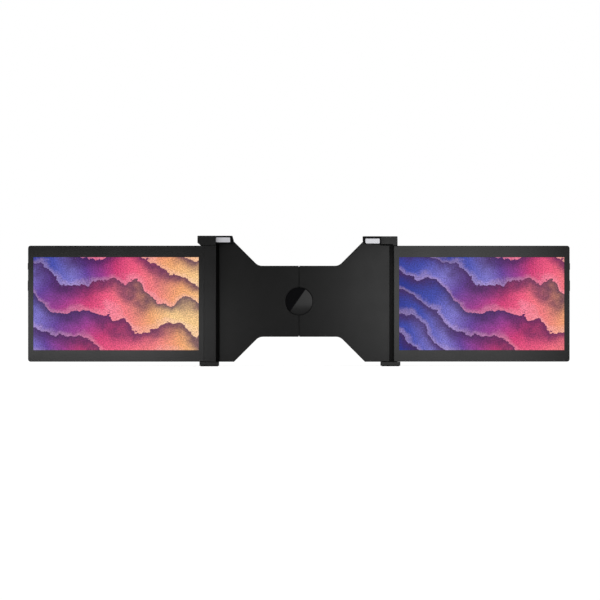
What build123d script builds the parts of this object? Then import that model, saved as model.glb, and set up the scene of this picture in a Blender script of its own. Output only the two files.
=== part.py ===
"""Two-screen laptop extender: two 11.6 inch screens on a telescoping back plate.

Millimetres.  +X is to the viewer's right, +Y points away from the viewer, +Z is up, and the
feet stand on Z = 0.  Depths are first worked out from the front face of the back plate
(Y = 0) and every piece is moved by the same amount when it is written, so that the origin is
in the middle of the object's footprint.  Both sides are built on +X and the left one is
mirrored.
"""
from build123d import *
import os
from math import acos, cos, pi, radians, sin, tan

os.makedirs("parts", exist_ok=True)

# ---------------------------------------------------------------- clearances
TURN_GAP = 0.3          # between a screen and the foot or arm that it turns against
RUN_FIT = 0.05          # radial, a pin turning in its bush
PUSH_FIT = 0.01         # radial, a pin or screw held in its hole
SLIDE_GAP = 0.3         # beside a bar that slides
SEAM_GAP = 0.5          # from the centre line to each wing
FOLD_GAP = 1.0          # between the back plate and a folded screen, and between both screens

# ---------------------------------------------------------------- screens
DISPLAY_W = 256.3       # active picture, 11.6 inch at 16:9
DISPLAY_H = 144.2
BEZEL_SIDE = 8.35       # picture to the screen's left and right edges
BEZEL_BAND = 17.9       # picture to the screen's top and bottom edges
SCREEN_T = 10.0
SCREEN_CORNER_R = 4.0
SCREEN_WALL = 1.8
BEZEL_LIP_T = 1.2
BEZEL_CHAMFER = 0.5
COVER_T = 1.6
PANEL_OVERLAP_X = 5.85  # panel hidden behind the bezel, each side
PANEL_OVERLAP_Z = 6.65
PANEL_T = 1.4
BACKLIGHT_T = 2.4
SCREEN_INNER = 147.3    # middle of the object to a screen's inner edge
SCREEN_W = DISPLAY_W + 2 * BEZEL_SIDE
SCREEN_H = DISPLAY_H + 2 * BEZEL_BAND
BEZEL_T = SCREEN_T - COVER_T
PANEL_W = DISPLAY_W + 2 * PANEL_OVERLAP_X
PANEL_H = DISPLAY_H + 2 * PANEL_OVERLAP_Z
PANEL_X = (SCREEN_W - PANEL_W) / 2
PANEL_Z = (SCREEN_H - PANEL_H) / 2
BACKLIGHT_BACK = BEZEL_LIP_T + PANEL_T + BACKLIGHT_T

COVER_SCREW_R = 0.9
COVER_SCREW_L = 5.0
COVER_HEAD_R = 1.8
COVER_HEAD_T = 0.9
COVER_BOSS_R = 2.6
COVER_SCREW_INSET = 16.0
VENT_W = 1.6
VENT_L = 24.0
VENT_PITCH = 5.0
VENT_COUNT = 9

# control board, sockets and buttons, on the outer short edge of each screen
BOARD_W = 44.0
BOARD_T = 1.0
BOARD_EDGE_GAP = 3.2    # board edge to the outside of the screen
BOARD_Z = 14.0          # board's lower edge above the screen's lower edge
BOARD_TOP_GAP = 16.0    # board's upper edge below the screen's upper edge
BOARD_H = SCREEN_H - BOARD_Z - BOARD_TOP_GAP
BOARD_BOSS_R = 2.4
BOARD_BOSS_INSET = 5.0
CHIP_T = 0.9
CHIP_SIZE = 14.0
CHIP_GAP_Z = 36.0
SOCKET_T = 3.1          # height of every socket shell
SOCKET_WALL = 0.35
SOCKET_DEPTH = 7.5
SOCKET_TONGUE_T = 0.7
SOCKET_GAP = 0.2
TYPE_C_W = 8.9
VIDEO_W = 11.2
TYPE_C_LOW_Z = 30.0     # socket centres above the screen's lower edge
TYPE_C_HIGH_Z = 48.0
VIDEO_Z = 68.0
BUTTON_T = 2.8
BUTTON_PROUD = 0.7
BUTTON_GAP = 0.2
BUTTON_TRAVEL = 0.5
POWER_W = 10.0
POWER_DROP = 32.0
POWER_Z = SCREEN_H - POWER_DROP
POWER_FLANGE_T = 1.0
POWER_FLANGE_LAP = 1.5
ROCKER_W = 16.0
ROCKER_DROP = 30.0
ROCKER_Z = POWER_Z - ROCKER_DROP
ROCKER_STEM_W = 5.0
ROCKER_AXLE_R = 0.8
ROCKER_AXLE_INSET = 2.8
ROCKER_END_GAP = 0.5
ROCKER_EYE_R = 1.7
BOARD_NOTCH_GAP = 0.5
SWITCH_SIZE = 4.0

# ---------------------------------------------------------------- posts that carry the screens
PAD_T = 1.0
FOOT_H = 6.0
PAD_INSET = 1.6
FOOT_TOP = PAD_T + FOOT_H
SCREEN_Z = FOOT_TOP + TURN_GAP
SCREEN_TOP = SCREEN_Z + SCREEN_H
ARM_BOTTOM = SCREEN_TOP + TURN_GAP
ARM_H = 14.4
ARM_TOP = ARM_BOTTOM + ARM_H
LEFT_ARM_TALLER = 0.8   # the left arm and its clip end this much higher
LEDGE_RELIEF = 1.9      # the right arm is this much higher beside its hinge knuckle
LEDGE_BOTTOM = ARM_BOTTOM + LEDGE_RELIEF
BAR_W = 18.4            # hinge bar on the left screen
BAR_IN = SCREEN_INNER - BAR_W
LEFT_RECESS = 4.7       # dark gap between the hinge bar and the left wing
RIGHT_RECESS = 6.0      # dark gap between the right wing and the right screen
LEFT_WING_OUT = BAR_IN - LEFT_RECESS
RIGHT_WING_OUT = SCREEN_INNER - RIGHT_RECESS
LEFT_ARM_INSET = 0.8    # the left arm starts this far outside the bar's inner face
LEFT_ARM_OVER = 10.3    # how far each arm and foot reaches past the screen's inner edge
RIGHT_ARM_OVER = 5.8
LEFT_FOOT_UNDER = 7.2
RIGHT_FOOT_UNDER = 10.1
RIGHT_ARM_LAP = 14.1    # how far the right arm and foot reach over the wing
RIGHT_FOOT_LAP = 14.7
KNUCKLE_LAP = 1.8
LEFT_ARM_IN = BAR_IN + LEFT_ARM_INSET
LEFT_ARM_OUT = SCREEN_INNER + LEFT_ARM_OVER
RIGHT_ARM_IN = RIGHT_WING_OUT - RIGHT_ARM_LAP
RIGHT_ARM_OUT = SCREEN_INNER + RIGHT_ARM_OVER
LEFT_FOOT_IN = LEFT_WING_OUT
LEFT_FOOT_OUT = SCREEN_INNER + LEFT_FOOT_UNDER
RIGHT_FOOT_IN = RIGHT_WING_OUT - RIGHT_FOOT_LAP
RIGHT_FOOT_OUT = SCREEN_INNER + RIGHT_FOOT_UNDER
KNUCKLE_IN = SCREEN_INNER - KNUCKLE_LAP
ARM_CHAMFER_X = 5.0     # cut-off lower outer corner of the left arm
ARM_CHAMFER_Z = 4.3
SPINE_T = 4.0
SPINE_LAP = 20.2        # how far the spine reaches behind the left wing
SPINE_IN = LEFT_WING_OUT - SPINE_LAP
SPINE_RISE = 2.0        # spine above the clip's lower edge, so no light shows under the clip
CLIP_GAP_COVER = 2.0    # spine kept behind the gap between clip and arm
POST_EDGE_CHAMFER = 0.5  # eased front edges of arms, feet and clips
ARM_CORNER_R = 1.2

# ---------------------------------------------------------------- back plate, two wings
WAIST_RISE = 38.8       # from the plate's lower edge up to the narrow middle
WAIST_DROP = 42.5       # from the plate's upper edge down to it
LEFT_SLOPE_HIGH = 60.8   # from a wing's outer edge to where its upper and lower slopes start
LEFT_SLOPE_LOW = 62.1
RIGHT_SLOPE_HIGH = 79.4
RIGHT_SLOPE_LOW = 77.7
WAIST_FILLET = 15.0
CLIP_TOP_T = 2.0
CLIP_SETTLE = 1.3       # between the wing's top edge and the clip's bridge
WING_TOP = ARM_TOP - CLIP_TOP_T - CLIP_SETTLE
WAIST_LOW = FOOT_TOP + WAIST_RISE
WAIST_HIGH = WING_TOP - WAIST_DROP
CENTRE_Z = (WAIST_LOW + WAIST_HIGH) / 2
SHOULDER_GAP = 0.8
WING_SHOULDER = LEDGE_BOTTOM - SHOULDER_GAP
WING_SKIN = 1.6
WING_WALL = 2.0
SHELL_T = 6.4
WING_BACK_T = 1.6
WING_T = SHELL_T + WING_BACK_T
WING_EDGE_CHAMFER = 1.0  # round the outside; the seam and the disc's notch stay sharp
SPINE_BACK = WING_T + SPINE_T

WING_SCREW_R = 1.0
WING_SCREW_L = 5.0
WING_HEAD_R = 1.9
WING_HEAD_T = 1.0
WING_BOSS_R = 3.0
WING_SCREW_IN_X = 30.0
WING_SCREW_SLOPE = 20.3  # outer cover screws beyond the start of the slopes
WING_SCREW_MARGIN = 7.0  # boss centre to the plate's edge, measured up or down
POST_SCREW_INSET = 8.0
POST_SCREW_X = SPINE_IN + POST_SCREW_INSET
POST_SCREW_RISE = 13.0  # first post screw above the wing's lower edge
POST_SCREW_PITCH = 60.0
POST_SCREW_COUNT = 3
POST_SCREW_DEEP = 5.0   # screw length inside the wing
POST_HEAD_SUNK = 0.2
POST_SCREW_L = SPINE_T - WING_HEAD_T - POST_HEAD_SUNK + POST_SCREW_DEEP

# ---------------------------------------------------------------- screen hinges
RIGHT_FRONT = -7.0      # front face of the right screen, and of its arm and foot
LEFT_FRONT = RIGHT_FRONT - SCREEN_T - 2 * FOLD_GAP
RIGHT_PIN_INSET = 2.7
RIGHT_PIN_R = 1.5
LEFT_PIN_R = 2.0
BUSH_WALL = 0.7
PIN_HOLD = 8.0          # pin length inside the screen
BUSH_TOP_L = 10.0
BUSH_END_GAP = 0.4
FOOT_FLOOR = 1.0        # metal left below the bottom bush
BAR_CHAMFER = 0.5
BAR_SCREW_R = 1.25
BAR_SCREW_L = 18.0
BAR_HEAD_R = 2.4
BAR_HEAD_T = 2.0
BAR_SCREW_PITCH = 58.0
BAR_SCREW_COUNT = 3
BAR_SCREW_DEPTH = 6.0   # screw axis behind the bar's front face
PIN_BLOCK_W = 7.0
RIGHT_AXIS_X = SCREEN_INNER + RIGHT_PIN_INSET
RIGHT_AXIS_Y = (RIGHT_FRONT - FOLD_GAP) / 2
LEFT_AXIS_X = SCREEN_INNER - BAR_W / 2
LEFT_AXIS_Y = (LEFT_FRONT - 2 * FOLD_GAP - SCREEN_T) / 2

# ---------------------------------------------------------------- lid clips
CLIP_W = 27.9
CLIP_SIDE_GAP = 0.5     # between a clip and the arm beside it
LEFT_CLIP_IN = LEFT_ARM_IN - CLIP_SIDE_GAP - CLIP_W
RIGHT_CLIP_IN = RIGHT_ARM_IN - CLIP_SIDE_GAP - CLIP_W
CLIP_BOTTOM = LEDGE_BOTTOM
CLIP_UNDERSIDE = ARM_TOP - CLIP_TOP_T
LID_SLOT = 8.5          # room for the lid between the clip's pad and the wing
CLIP_PAD_T = 0.7
CLIP_LIP_T = 1.8
CLIP_FRONT = -LID_SLOT - CLIP_PAD_T - CLIP_LIP_T
CLIP_SLANT = 4.6        # cut lower corner of the right clip; both pads stay clear of it
CLIP_LEAN = 2.2         # the left clip's inner edge leans over by this much
CLIP_LEAN_H = 7.0
CLIP_CORNER_R = 1.0
CLIP_PAD_INSET = 2.0
CLIP_TRAVEL = 12.0
STEM_W = 10.0
STEM_T = 2.8
STEM_DROP = 12.0        # stem plate below the wing's top edge
STEM_GAP = 0.3
STEM_Y = (WING_SKIN + SHELL_T) / 2
CLIP_BACK_LAP = 0.8
CLIP_BACK = STEM_Y + STEM_T / 2 + CLIP_BACK_LAP
ROD_R = 1.1
SPRING_ROOM = 16.0      # rod length beyond the travel
ROD_L = CLIP_TRAVEL + SPRING_ROOM
FLANGE_R = 2.1
FLANGE_T = 2.0
SPRING_WIRE_R = 0.25
SPRING_GAP = 0.3
SPRING_R = ROD_R + SPRING_WIRE_R + SPRING_GAP
SPRING_TURNS = 9
SHELF_T = 2.5
SHELF_CLEAR = 1.5       # stem plate's lower end above the shelf
SHELF_TOP = WING_TOP - STEM_DROP - SHELF_CLEAR
SILVER_H = 7.5
SILVER_W = 22.0
SILVER_T = 0.6
SILVER_SUNK = 0.4
SILVER_CORNER_R = 1.2
SILVER_CUT_R = 2.4      # lower inner corner of the right badge plate
LEFT_SILVER_INSET = 5.6
RIGHT_SILVER_INSET = 4.4
LEFT_SILVER_RISE = 3.1
RIGHT_SILVER_RISE = 1.3
LEFT_SILVER_IN = LEFT_CLIP_IN + LEFT_SILVER_INSET
RIGHT_SILVER_IN = RIGHT_CLIP_IN + RIGHT_SILVER_INSET
LEFT_SILVER_Z = CLIP_BOTTOM + LEFT_SILVER_RISE
RIGHT_SILVER_Z = CLIP_BOTTOM + RIGHT_SILVER_RISE

# ---------------------------------------------------------------- sliding middle
BAR_FOOT_L = 24.0       # thick ends of the rack and guide bars, screwed to the wings
BAR_FOOT_W = 12.0
BAR_FOOT_SCREW_INSET = 6.0
BAR_FOOT_GAP = 6.0      # from the carrier to those ends
SPINE_SPARE = 8.0       # from those ends to the posts' spines
CARRIER_HOLD = 21.0     # carrier still behind each wing when it is pulled out
BAR_FOOT_IN = SPINE_IN - SPINE_SPARE - BAR_FOOT_L
CARRIER_HALF_W = BAR_FOOT_IN - BAR_FOOT_GAP
WING_TRAVEL = CARRIER_HALF_W - CARRIER_HOLD
CARRIER_MARGIN = 1.5    # carrier inside the plate's narrow middle, above and below
CARRIER_LOW = WAIST_LOW + CARRIER_MARGIN
CARRIER_HIGH = WAIST_HIGH - CARRIER_MARGIN
CARRIER_CORNER_R = 6.0
CARRIER_GAP = 0.4
CARRIER_PLATE_T = 1.4
CARRIER_DEPTH = 3.4
CARRIER_RIM = 2.0
CARRIER_COVER_T = 1.6
CARRIER_FRONT = WING_T + CARRIER_GAP
CARRIER_FLOOR = CARRIER_FRONT + CARRIER_PLATE_T
CARRIER_BACK = CARRIER_FLOOR + CARRIER_DEPTH
CARRIER_REAR = CARRIER_BACK + CARRIER_COVER_T
BAR_GAP_Y = 0.4
SLIDE_BAR_T = CARRIER_DEPTH - 2 * BAR_GAP_Y
SLIDE_FRONT = CARRIER_FLOOR + BAR_GAP_Y
SLIDE_BACK = SLIDE_FRONT + SLIDE_BAR_T
RIB_T = 1.6
CARRIER_SCREW_INSET = 7.0
CARRIER_CHAMFER = 0.4

GEAR_MODULE = 1.0
GEAR_TEETH = 20
PRESSURE_ANGLE = 20.0
BACKLASH = 0.1          # taken off every tooth at the pitch line
GEAR_R = GEAR_MODULE * GEAR_TEETH / 2
RACK_PITCH = pi * GEAR_MODULE
RACK_BODY = 5.8
RACK_SPARE = 10.0
RACK_REACH = WING_TRAVEL + RACK_SPARE  # free end beyond the middle
GUIDE_W = 6.0
GUIDE_INSET = 17.7      # guide bar's centre from the carrier's edge
GUIDE_OFFSET = (CARRIER_HIGH - CARRIER_LOW) / 2 - GUIDE_INSET
BAR_HEAD_SUNK = 0.4
AXLE_R = 3.0
AXLE_HOLD = 4.4         # axle length inside the disc's hub

DISC_R = 20.8
DISC_GAP = 0.35
DISC_PROUD = 0.8
DISC_RIM_T = 2.4
DISC_HUB_R = 14.0
DISC_FACET = 4.0        # degrees that each half of the disc slopes away from the ridge
DISC_RIDGE_ANGLE = 55.0  # the ridge's slope from the horizontal
DISC_RIDGE_OFFSET = 2.3

# ---------------------------------------------------------------- kickstand
LEG_HALF_W = 26.0
LEG_T = 4.4
LEG_GAP = 0.4
LEG_WINDOW_W = 24.0
LEG_WINDOW_H = 44.0
LEG_WINDOW_R = 4.0
LEG_RIB = 12.0
TIP_T = 1.5
KICK_PIN_R = 1.5
BARREL_BULGE = 0.3
KICK_BARREL_R = LEG_T / 2 + BARREL_BULGE
KICK_AXIS_RISE = 10.7   # hinge axis above the carrier's lower edge
BRACKET_W = 7.0
BRACKET_GAP = 0.4
BRACKET_H = 10.0
BRACKET_CHAMFER = 1.5
KICK_AXIS_Y = CARRIER_REAR + LEG_GAP + LEG_T / 2
KICK_AXIS_Z = CARRIER_LOW + KICK_AXIS_RISE
LEG_TIP_DROP = 4.2      # rubber tip below the carrier's upper edge
LEG_L = CARRIER_HIGH - LEG_TIP_DROP - KICK_AXIS_Z
BRACKET_SKIN = 0.3      # bracket metal behind the leg's barrel
BRACKET_BACK = KICK_AXIS_Y + KICK_BARREL_R + BRACKET_SKIN

# the object reaches from the left screen's front to the kickstand brackets' back
Y_MIDDLE = (LEFT_FRONT + BRACKET_BACK) / 2


class Side:
    """The sizes in which the left and the right half of the object differ."""

    def __init__(self, name, sign, **sizes):
        self.name = name
        self.sign = sign
        self.__dict__.update(sizes)

    def hand(self, shape):
        """Turn a shape that was built on +X into this side's."""
        return shape if self.sign > 0 else mirror(shape, about=Plane.YZ)


LEFT = Side(
    "left", -1,
    wing_out=LEFT_WING_OUT, arm_in=LEFT_ARM_IN, arm_out=LEFT_ARM_OUT,
    foot_in=LEFT_FOOT_IN, foot_out=LEFT_FOOT_OUT, front=LEFT_FRONT,
    axis_x=LEFT_AXIS_X, axis_y=LEFT_AXIS_Y, pin_r=LEFT_PIN_R, clip_in=LEFT_CLIP_IN,
    silver_in=LEFT_SILVER_IN, silver_z=LEFT_SILVER_Z, silver_cut_r=SILVER_CORNER_R,
    arm_top=ARM_TOP + LEFT_ARM_TALLER,
    waist_x_high=LEFT_WING_OUT - LEFT_SLOPE_HIGH, waist_x_low=LEFT_WING_OUT - LEFT_SLOPE_LOW,
)
RIGHT = Side(
    "right", 1,
    wing_out=RIGHT_WING_OUT, arm_in=RIGHT_ARM_IN, arm_out=RIGHT_ARM_OUT,
    foot_in=RIGHT_FOOT_IN, foot_out=RIGHT_FOOT_OUT, front=RIGHT_FRONT,
    axis_x=RIGHT_AXIS_X, axis_y=RIGHT_AXIS_Y, pin_r=RIGHT_PIN_R, clip_in=RIGHT_CLIP_IN,
    silver_in=RIGHT_SILVER_IN, silver_z=RIGHT_SILVER_Z, silver_cut_r=SILVER_CUT_R,
    arm_top=ARM_TOP,
    waist_x_high=RIGHT_WING_OUT - RIGHT_SLOPE_HIGH, waist_x_low=RIGHT_WING_OUT - RIGHT_SLOPE_LOW,
)


# ---------------------------------------------------------------- shape helpers
def block(x0, x1, y0, y1, z0, z1):
    """A box between two corners."""
    middle = Pos((x0 + x1) / 2, (y0 + y1) / 2, (z0 + z1) / 2)
    return middle * Box(x1 - x0, y1 - y0, z1 - z0)


def rod_x(y, z, x0, x1, r):
    return Pos((x0 + x1) / 2, y, z) * Rot(0, 90, 0) * Cylinder(r, x1 - x0)


def rod_y(x, z, y0, y1, r):
    return Pos(x, (y0 + y1) / 2, z) * Rot(90, 0, 0) * Cylinder(r, y1 - y0)


def rod_z(x, y, z0, z1, r):
    return Pos(x, y, (z0 + z1) / 2) * Cylinder(r, z1 - z0)


def slab(outline, y0, y1):
    """Extrude an outline drawn with X across and Z up, from depth y0 to depth y1."""
    return Pos(0, y1, 0) * Rot(90, 0, 0) * extrude(outline, y1 - y0)


def panel_outline(x0, x1, z0, z1, r):
    return Pos((x0 + x1) / 2, (z0 + z1) / 2) * RectangleRounded(x1 - x0, z1 - z0, r)


def screw(x, z, seat_y, shank_r, shank_l, head_r, head_t):
    """A screw driven from the back, its head standing on seat_y."""
    shank = rod_y(x, z, seat_y - shank_l, seat_y, shank_r)
    head = rod_y(x, z, seat_y, seat_y + head_t, head_r)
    slot = block(x - head_r, x + head_r, seat_y + head_t / 2, seat_y + head_t, z - 0.25, z + 0.25)
    return shank + head - slot


def screw_hole(x, z, seat_y, rear_y, shank_r, shank_l, head_r):
    """The hole that such a screw needs, open to the back."""
    shank = rod_y(x, z, seat_y - shank_l, seat_y, shank_r + PUSH_FIT)
    head = rod_y(x, z, seat_y, rear_y, head_r + PUSH_FIT)
    return shank + head


def save(node, *solids):
    """Write one node, moved so that the origin is in the middle of the footprint."""
    moved = [Pos(0, -Y_MIDDLE, 0) * s for s in solids]
    shape = moved[0] if len(moved) == 1 else Compound(children=moved)
    export_step(shape, f"parts/{node}.step")


# ---------------------------------------------------------------- wings
def wing_outline(side):
    """Half of the bow-tie plate, on +X, with the notch that clears the centre disc."""
    top_slope = WING_TOP - WAIST_HIGH
    low_slope = WAIST_LOW - FOOT_TOP
    corners = [
        (SEAM_GAP, WAIST_LOW),
        (side.waist_x_low, WAIST_LOW),
        (side.waist_x_low + low_slope, FOOT_TOP),
        (side.wing_out, FOOT_TOP),
    ]
    if side.wing_out > side.arm_in:
        step = side.arm_in - SLIDE_GAP
        corners += [(side.wing_out, WING_SHOULDER), (step, WING_SHOULDER), (step, WING_TOP)]
    else:
        corners += [(side.wing_out, WING_TOP)]
    corners += [
        (side.waist_x_high + top_slope, WING_TOP),
        (side.waist_x_high, WAIST_HIGH),
        (SEAM_GAP, WAIST_HIGH),
    ]
    plate = make_face(Polyline(*corners, close=True))
    slope_start = max(side.waist_x_low, side.waist_x_high) + SEAM_GAP
    waist = [v for v in plate.vertices() if 2 * SEAM_GAP < v.X < slope_start]
    plate = fillet(waist, WAIST_FILLET)
    return plate - Pos(0, CENTRE_Z) * Circle(DISC_R + DISC_GAP)


def wing_screw_places(side):
    """Cover screws near the seam and on the slopes, inside the plate's edge."""
    out_x = side.waist_x_high + WING_SCREW_SLOPE
    low_out = WAIST_LOW - (out_x - side.waist_x_low)
    high_out = WAIST_HIGH + (out_x - side.waist_x_high)
    return [
        (WING_SCREW_IN_X, WAIST_LOW + WING_SCREW_MARGIN),
        (WING_SCREW_IN_X, WAIST_HIGH - WING_SCREW_MARGIN),
        (out_x, low_out + 1.5 * WING_SCREW_MARGIN),
        (out_x, high_out - 1.5 * WING_SCREW_MARGIN),
    ]


def post_screw_places():
    first = FOOT_TOP + POST_SCREW_RISE
    return [(POST_SCREW_X, first + i * POST_SCREW_PITCH) for i in range(POST_SCREW_COUNT)]


def bar_foot_places(side):
    """Screw places on the feet of the rack bar and of the guide bar."""
    first = BAR_FOOT_IN + BAR_FOOT_SCREW_INSET
    last = BAR_FOOT_IN + BAR_FOOT_L - BAR_FOOT_SCREW_INSET
    heights = [rack_centre_z(side), guide_centre_z(side)]
    return [(x, z) for z in heights for x in (first, last)]


def rack_centre_z(side):
    """The left rack runs above the pinion and the right one below it."""
    away = GEAR_R + 1.25 * GEAR_MODULE + RACK_BODY / 2
    return CENTRE_Z - side.sign * away


def guide_centre_z(side):
    return CENTRE_Z + side.sign * GUIDE_OFFSET


def cover_screw_seat():
    return WING_T - WING_HEAD_T


def bar_screw_seat():
    return SLIDE_BACK - WING_HEAD_T - BAR_HEAD_SUNK


def post_screw_seat():
    return SPINE_BACK - WING_HEAD_T - POST_HEAD_SUNK


def clip_centre(side):
    return side.clip_in + CLIP_W / 2


def wing_shell(side):
    """Front tray of a wing: skin, walls, screw bosses and the shelf of the clip's spring."""
    outline = wing_outline(side)
    tray = slab(outline, 0, SHELL_T)
    clear_of_seam = 4 * SEAM_GAP
    front_edges = tray.faces().sort_by(Axis.Y)[0].edges()
    outside = [e for e in front_edges if e.geom_type != GeomType.CIRCLE or e.center().X > DISC_R]
    tray = chamfer([e for e in outside if e.center().X > clear_of_seam], WING_EDGE_CHAMFER)
    tray -= slab(offset(outline, -WING_WALL, kind=Kind.INTERSECTION), WING_SKIN, SHELL_T)
    for x, z in wing_screw_places(side) + post_screw_places():
        tray += rod_y(x, z, WING_SKIN, SHELL_T, WING_BOSS_R)
    xc = clip_centre(side)
    reach = STEM_W / 2 + WING_WALL
    tray += block(xc - reach, xc + reach, WING_SKIN, SHELL_T, SHELF_TOP - SHELF_T, SHELF_TOP)
    for x, z in wing_screw_places(side):
        tray -= screw_hole(x, z, cover_screw_seat(), WING_T, WING_SCREW_R, WING_SCREW_L, WING_HEAD_R)
    for x, z in post_screw_places():
        tray -= screw_hole(x, z, post_screw_seat(), SPINE_BACK, WING_SCREW_R, POST_SCREW_L, WING_HEAD_R)
    tray -= rod_z(xc, STEM_Y, SHELF_TOP - SHELF_T, SHELF_TOP, ROD_R + STEM_GAP)
    half = STEM_W / 2 + STEM_GAP
    depth = STEM_T / 2 + STEM_GAP
    wall_low = WING_TOP - WING_WALL - 1
    return tray - block(xc - half, xc + half, STEM_Y - depth, STEM_Y + depth, wall_low, WING_TOP + 1)


def wing_back(side):
    """Back cover of a wing, flush with the shell's edge."""
    plate = slab(wing_outline(side), SHELL_T, WING_T)
    for x, z in wing_screw_places(side):
        plate -= screw_hole(x, z, cover_screw_seat(), WING_T, WING_SCREW_R, WING_SCREW_L, WING_HEAD_R)
    for x, z in post_screw_places():
        plate -= screw_hole(x, z, post_screw_seat(), SPINE_BACK, WING_SCREW_R, POST_SCREW_L, WING_HEAD_R)
    for x, z in bar_foot_places(side):
        plate -= screw_hole(x, z, bar_screw_seat(), SLIDE_BACK, WING_SCREW_R, WING_SCREW_L, WING_HEAD_R)
    return plate


def wing_screws(side):
    """Screws of the back cover and of the rack and guide feet, all the same."""
    made = [
        screw(x, z, cover_screw_seat(), WING_SCREW_R, WING_SCREW_L, WING_HEAD_R, WING_HEAD_T)
        for x, z in wing_screw_places(side)
    ]
    made += [
        screw(x, z, bar_screw_seat(), WING_SCREW_R, WING_SCREW_L, WING_HEAD_R, WING_HEAD_T)
        for x, z in bar_foot_places(side)
    ]
    return made


def post_screws():
    return [
        screw(x, z, post_screw_seat(), WING_SCREW_R, POST_SCREW_L, WING_HEAD_R, WING_HEAD_T)
        for x, z in post_screw_places()
    ]


# ---------------------------------------------------------------- posts
def arm_outline(side):
    """The arm above the screen, seen from the front."""
    if side.sign < 0:
        points = [
            (side.arm_in, ARM_BOTTOM),
            (side.arm_out - ARM_CHAMFER_X, ARM_BOTTOM),
            (side.arm_out, ARM_BOTTOM + ARM_CHAMFER_Z),
            (side.arm_out, side.arm_top),
            (side.arm_in, side.arm_top),
        ]
    else:
        points = [
            (side.arm_in, LEDGE_BOTTOM),
            (KNUCKLE_IN, LEDGE_BOTTOM),
            (KNUCKLE_IN, ARM_BOTTOM),
            (side.arm_out, ARM_BOTTOM),
            (side.arm_out, side.arm_top),
            (side.arm_in, side.arm_top),
        ]
    outline = make_face(Polyline(*points, close=True))
    top_outer = outline.vertices().sort_by(lambda v: v.X + v.Y)[-1:]
    return fillet(top_outer, ARM_CORNER_R)


def eased(piece, size):
    """Take the sharpness off the edges of a piece's front face."""
    return chamfer(piece.faces().sort_by(Axis.Y)[0].edges(), size)


def bush_r(side):
    return side.pin_r + RUN_FIT + BUSH_WALL


def post(side):
    """C-shaped bracket: a spine behind the wing, an arm above the screen and a foot below."""
    spine_out = min(side.arm_out, side.foot_out)
    spine = block(SPINE_IN, spine_out, WING_T, SPINE_BACK, PAD_T, side.arm_top)
    below_wing = block(SPINE_IN, side.foot_in, WING_T, SPINE_BACK, PAD_T, FOOT_TOP)
    beside_clip = block(
        SPINE_IN, side.arm_in - CLIP_GAP_COVER, WING_T, SPINE_BACK,
        CLIP_BOTTOM + SPINE_RISE, side.arm_top,
    )
    beyond_arm = block(KNUCKLE_IN, side.arm_out, WING_T, SPINE_BACK, ARM_BOTTOM, side.arm_top)
    arm = eased(slab(arm_outline(side), side.front, SPINE_BACK), POST_EDGE_CHAMFER)
    foot = block(side.foot_in, side.foot_out, side.front, SPINE_BACK, PAD_T, FOOT_TOP)
    body = spine - below_wing - beside_clip - beyond_arm + arm + eased(foot, POST_EDGE_CHAMFER)
    for x, z in post_screw_places():
        body -= screw_hole(x, z, post_screw_seat(), SPINE_BACK, WING_SCREW_R, POST_SCREW_L, WING_HEAD_R)
    hole = bush_r(side) + PUSH_FIT
    body -= rod_z(side.axis_x, side.axis_y, ARM_BOTTOM, ARM_BOTTOM + BUSH_TOP_L, hole)
    body -= rod_z(side.axis_x, side.axis_y, PAD_T + FOOT_FLOOR, FOOT_TOP, hole)
    return body


def foot_pad(side):
    return block(
        side.foot_in + PAD_INSET, side.foot_out - PAD_INSET,
        side.front + PAD_INSET, SPINE_BACK - PAD_INSET, 0, PAD_T,
    )


def hinge_bushes(side):
    """One plain bush in the arm and one in the foot."""
    top = rod_z(side.axis_x, side.axis_y, ARM_BOTTOM, ARM_BOTTOM + BUSH_TOP_L, bush_r(side))
    low = rod_z(side.axis_x, side.axis_y, PAD_T + FOOT_FLOOR, FOOT_TOP, bush_r(side))
    bore = rod_z(side.axis_x, side.axis_y, 0, ARM_TOP, side.pin_r + RUN_FIT)
    return [top - bore, low - bore]


def hinge_pins(side):
    """Two pins held in the screen's inner edge, one at each end."""
    high_end = ARM_BOTTOM + BUSH_TOP_L - BUSH_END_GAP
    low_end = PAD_T + FOOT_FLOOR + BUSH_END_GAP
    top = rod_z(side.axis_x, side.axis_y, SCREEN_TOP - PIN_HOLD, high_end, side.pin_r)
    low = rod_z(side.axis_x, side.axis_y, low_end, SCREEN_Z + PIN_HOLD, side.pin_r)
    return [top, low]


def pin_holes(side):
    hole = side.pin_r + PUSH_FIT
    top = rod_z(side.axis_x, side.axis_y, SCREEN_TOP - PIN_HOLD, SCREEN_TOP, hole)
    low = rod_z(side.axis_x, side.axis_y, SCREEN_Z, SCREEN_Z + PIN_HOLD, hole)
    return top + low


# ---------------------------------------------------------------- left hinge bar
def bar_screw_heights():
    middle = SCREEN_Z + SCREEN_H / 2
    first = middle - BAR_SCREW_PITCH * (BAR_SCREW_COUNT - 1) / 2
    return [first + i * BAR_SCREW_PITCH for i in range(BAR_SCREW_COUNT)]


def bar_screw_solid(z, grow):
    """A screw driven outwards through the bar, into the screen's side wall."""
    y = LEFT_FRONT + BAR_SCREW_DEPTH
    tip = SCREEN_INNER + SCREEN_WALL - TURN_GAP
    seat = tip - BAR_SCREW_L
    shank = rod_x(y, z, seat, tip, BAR_SCREW_R + grow)
    head_end = min(BAR_IN, seat - BAR_HEAD_T) if grow else seat - BAR_HEAD_T
    return shank + rod_x(y, z, head_end, seat, BAR_HEAD_R + grow)


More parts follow.
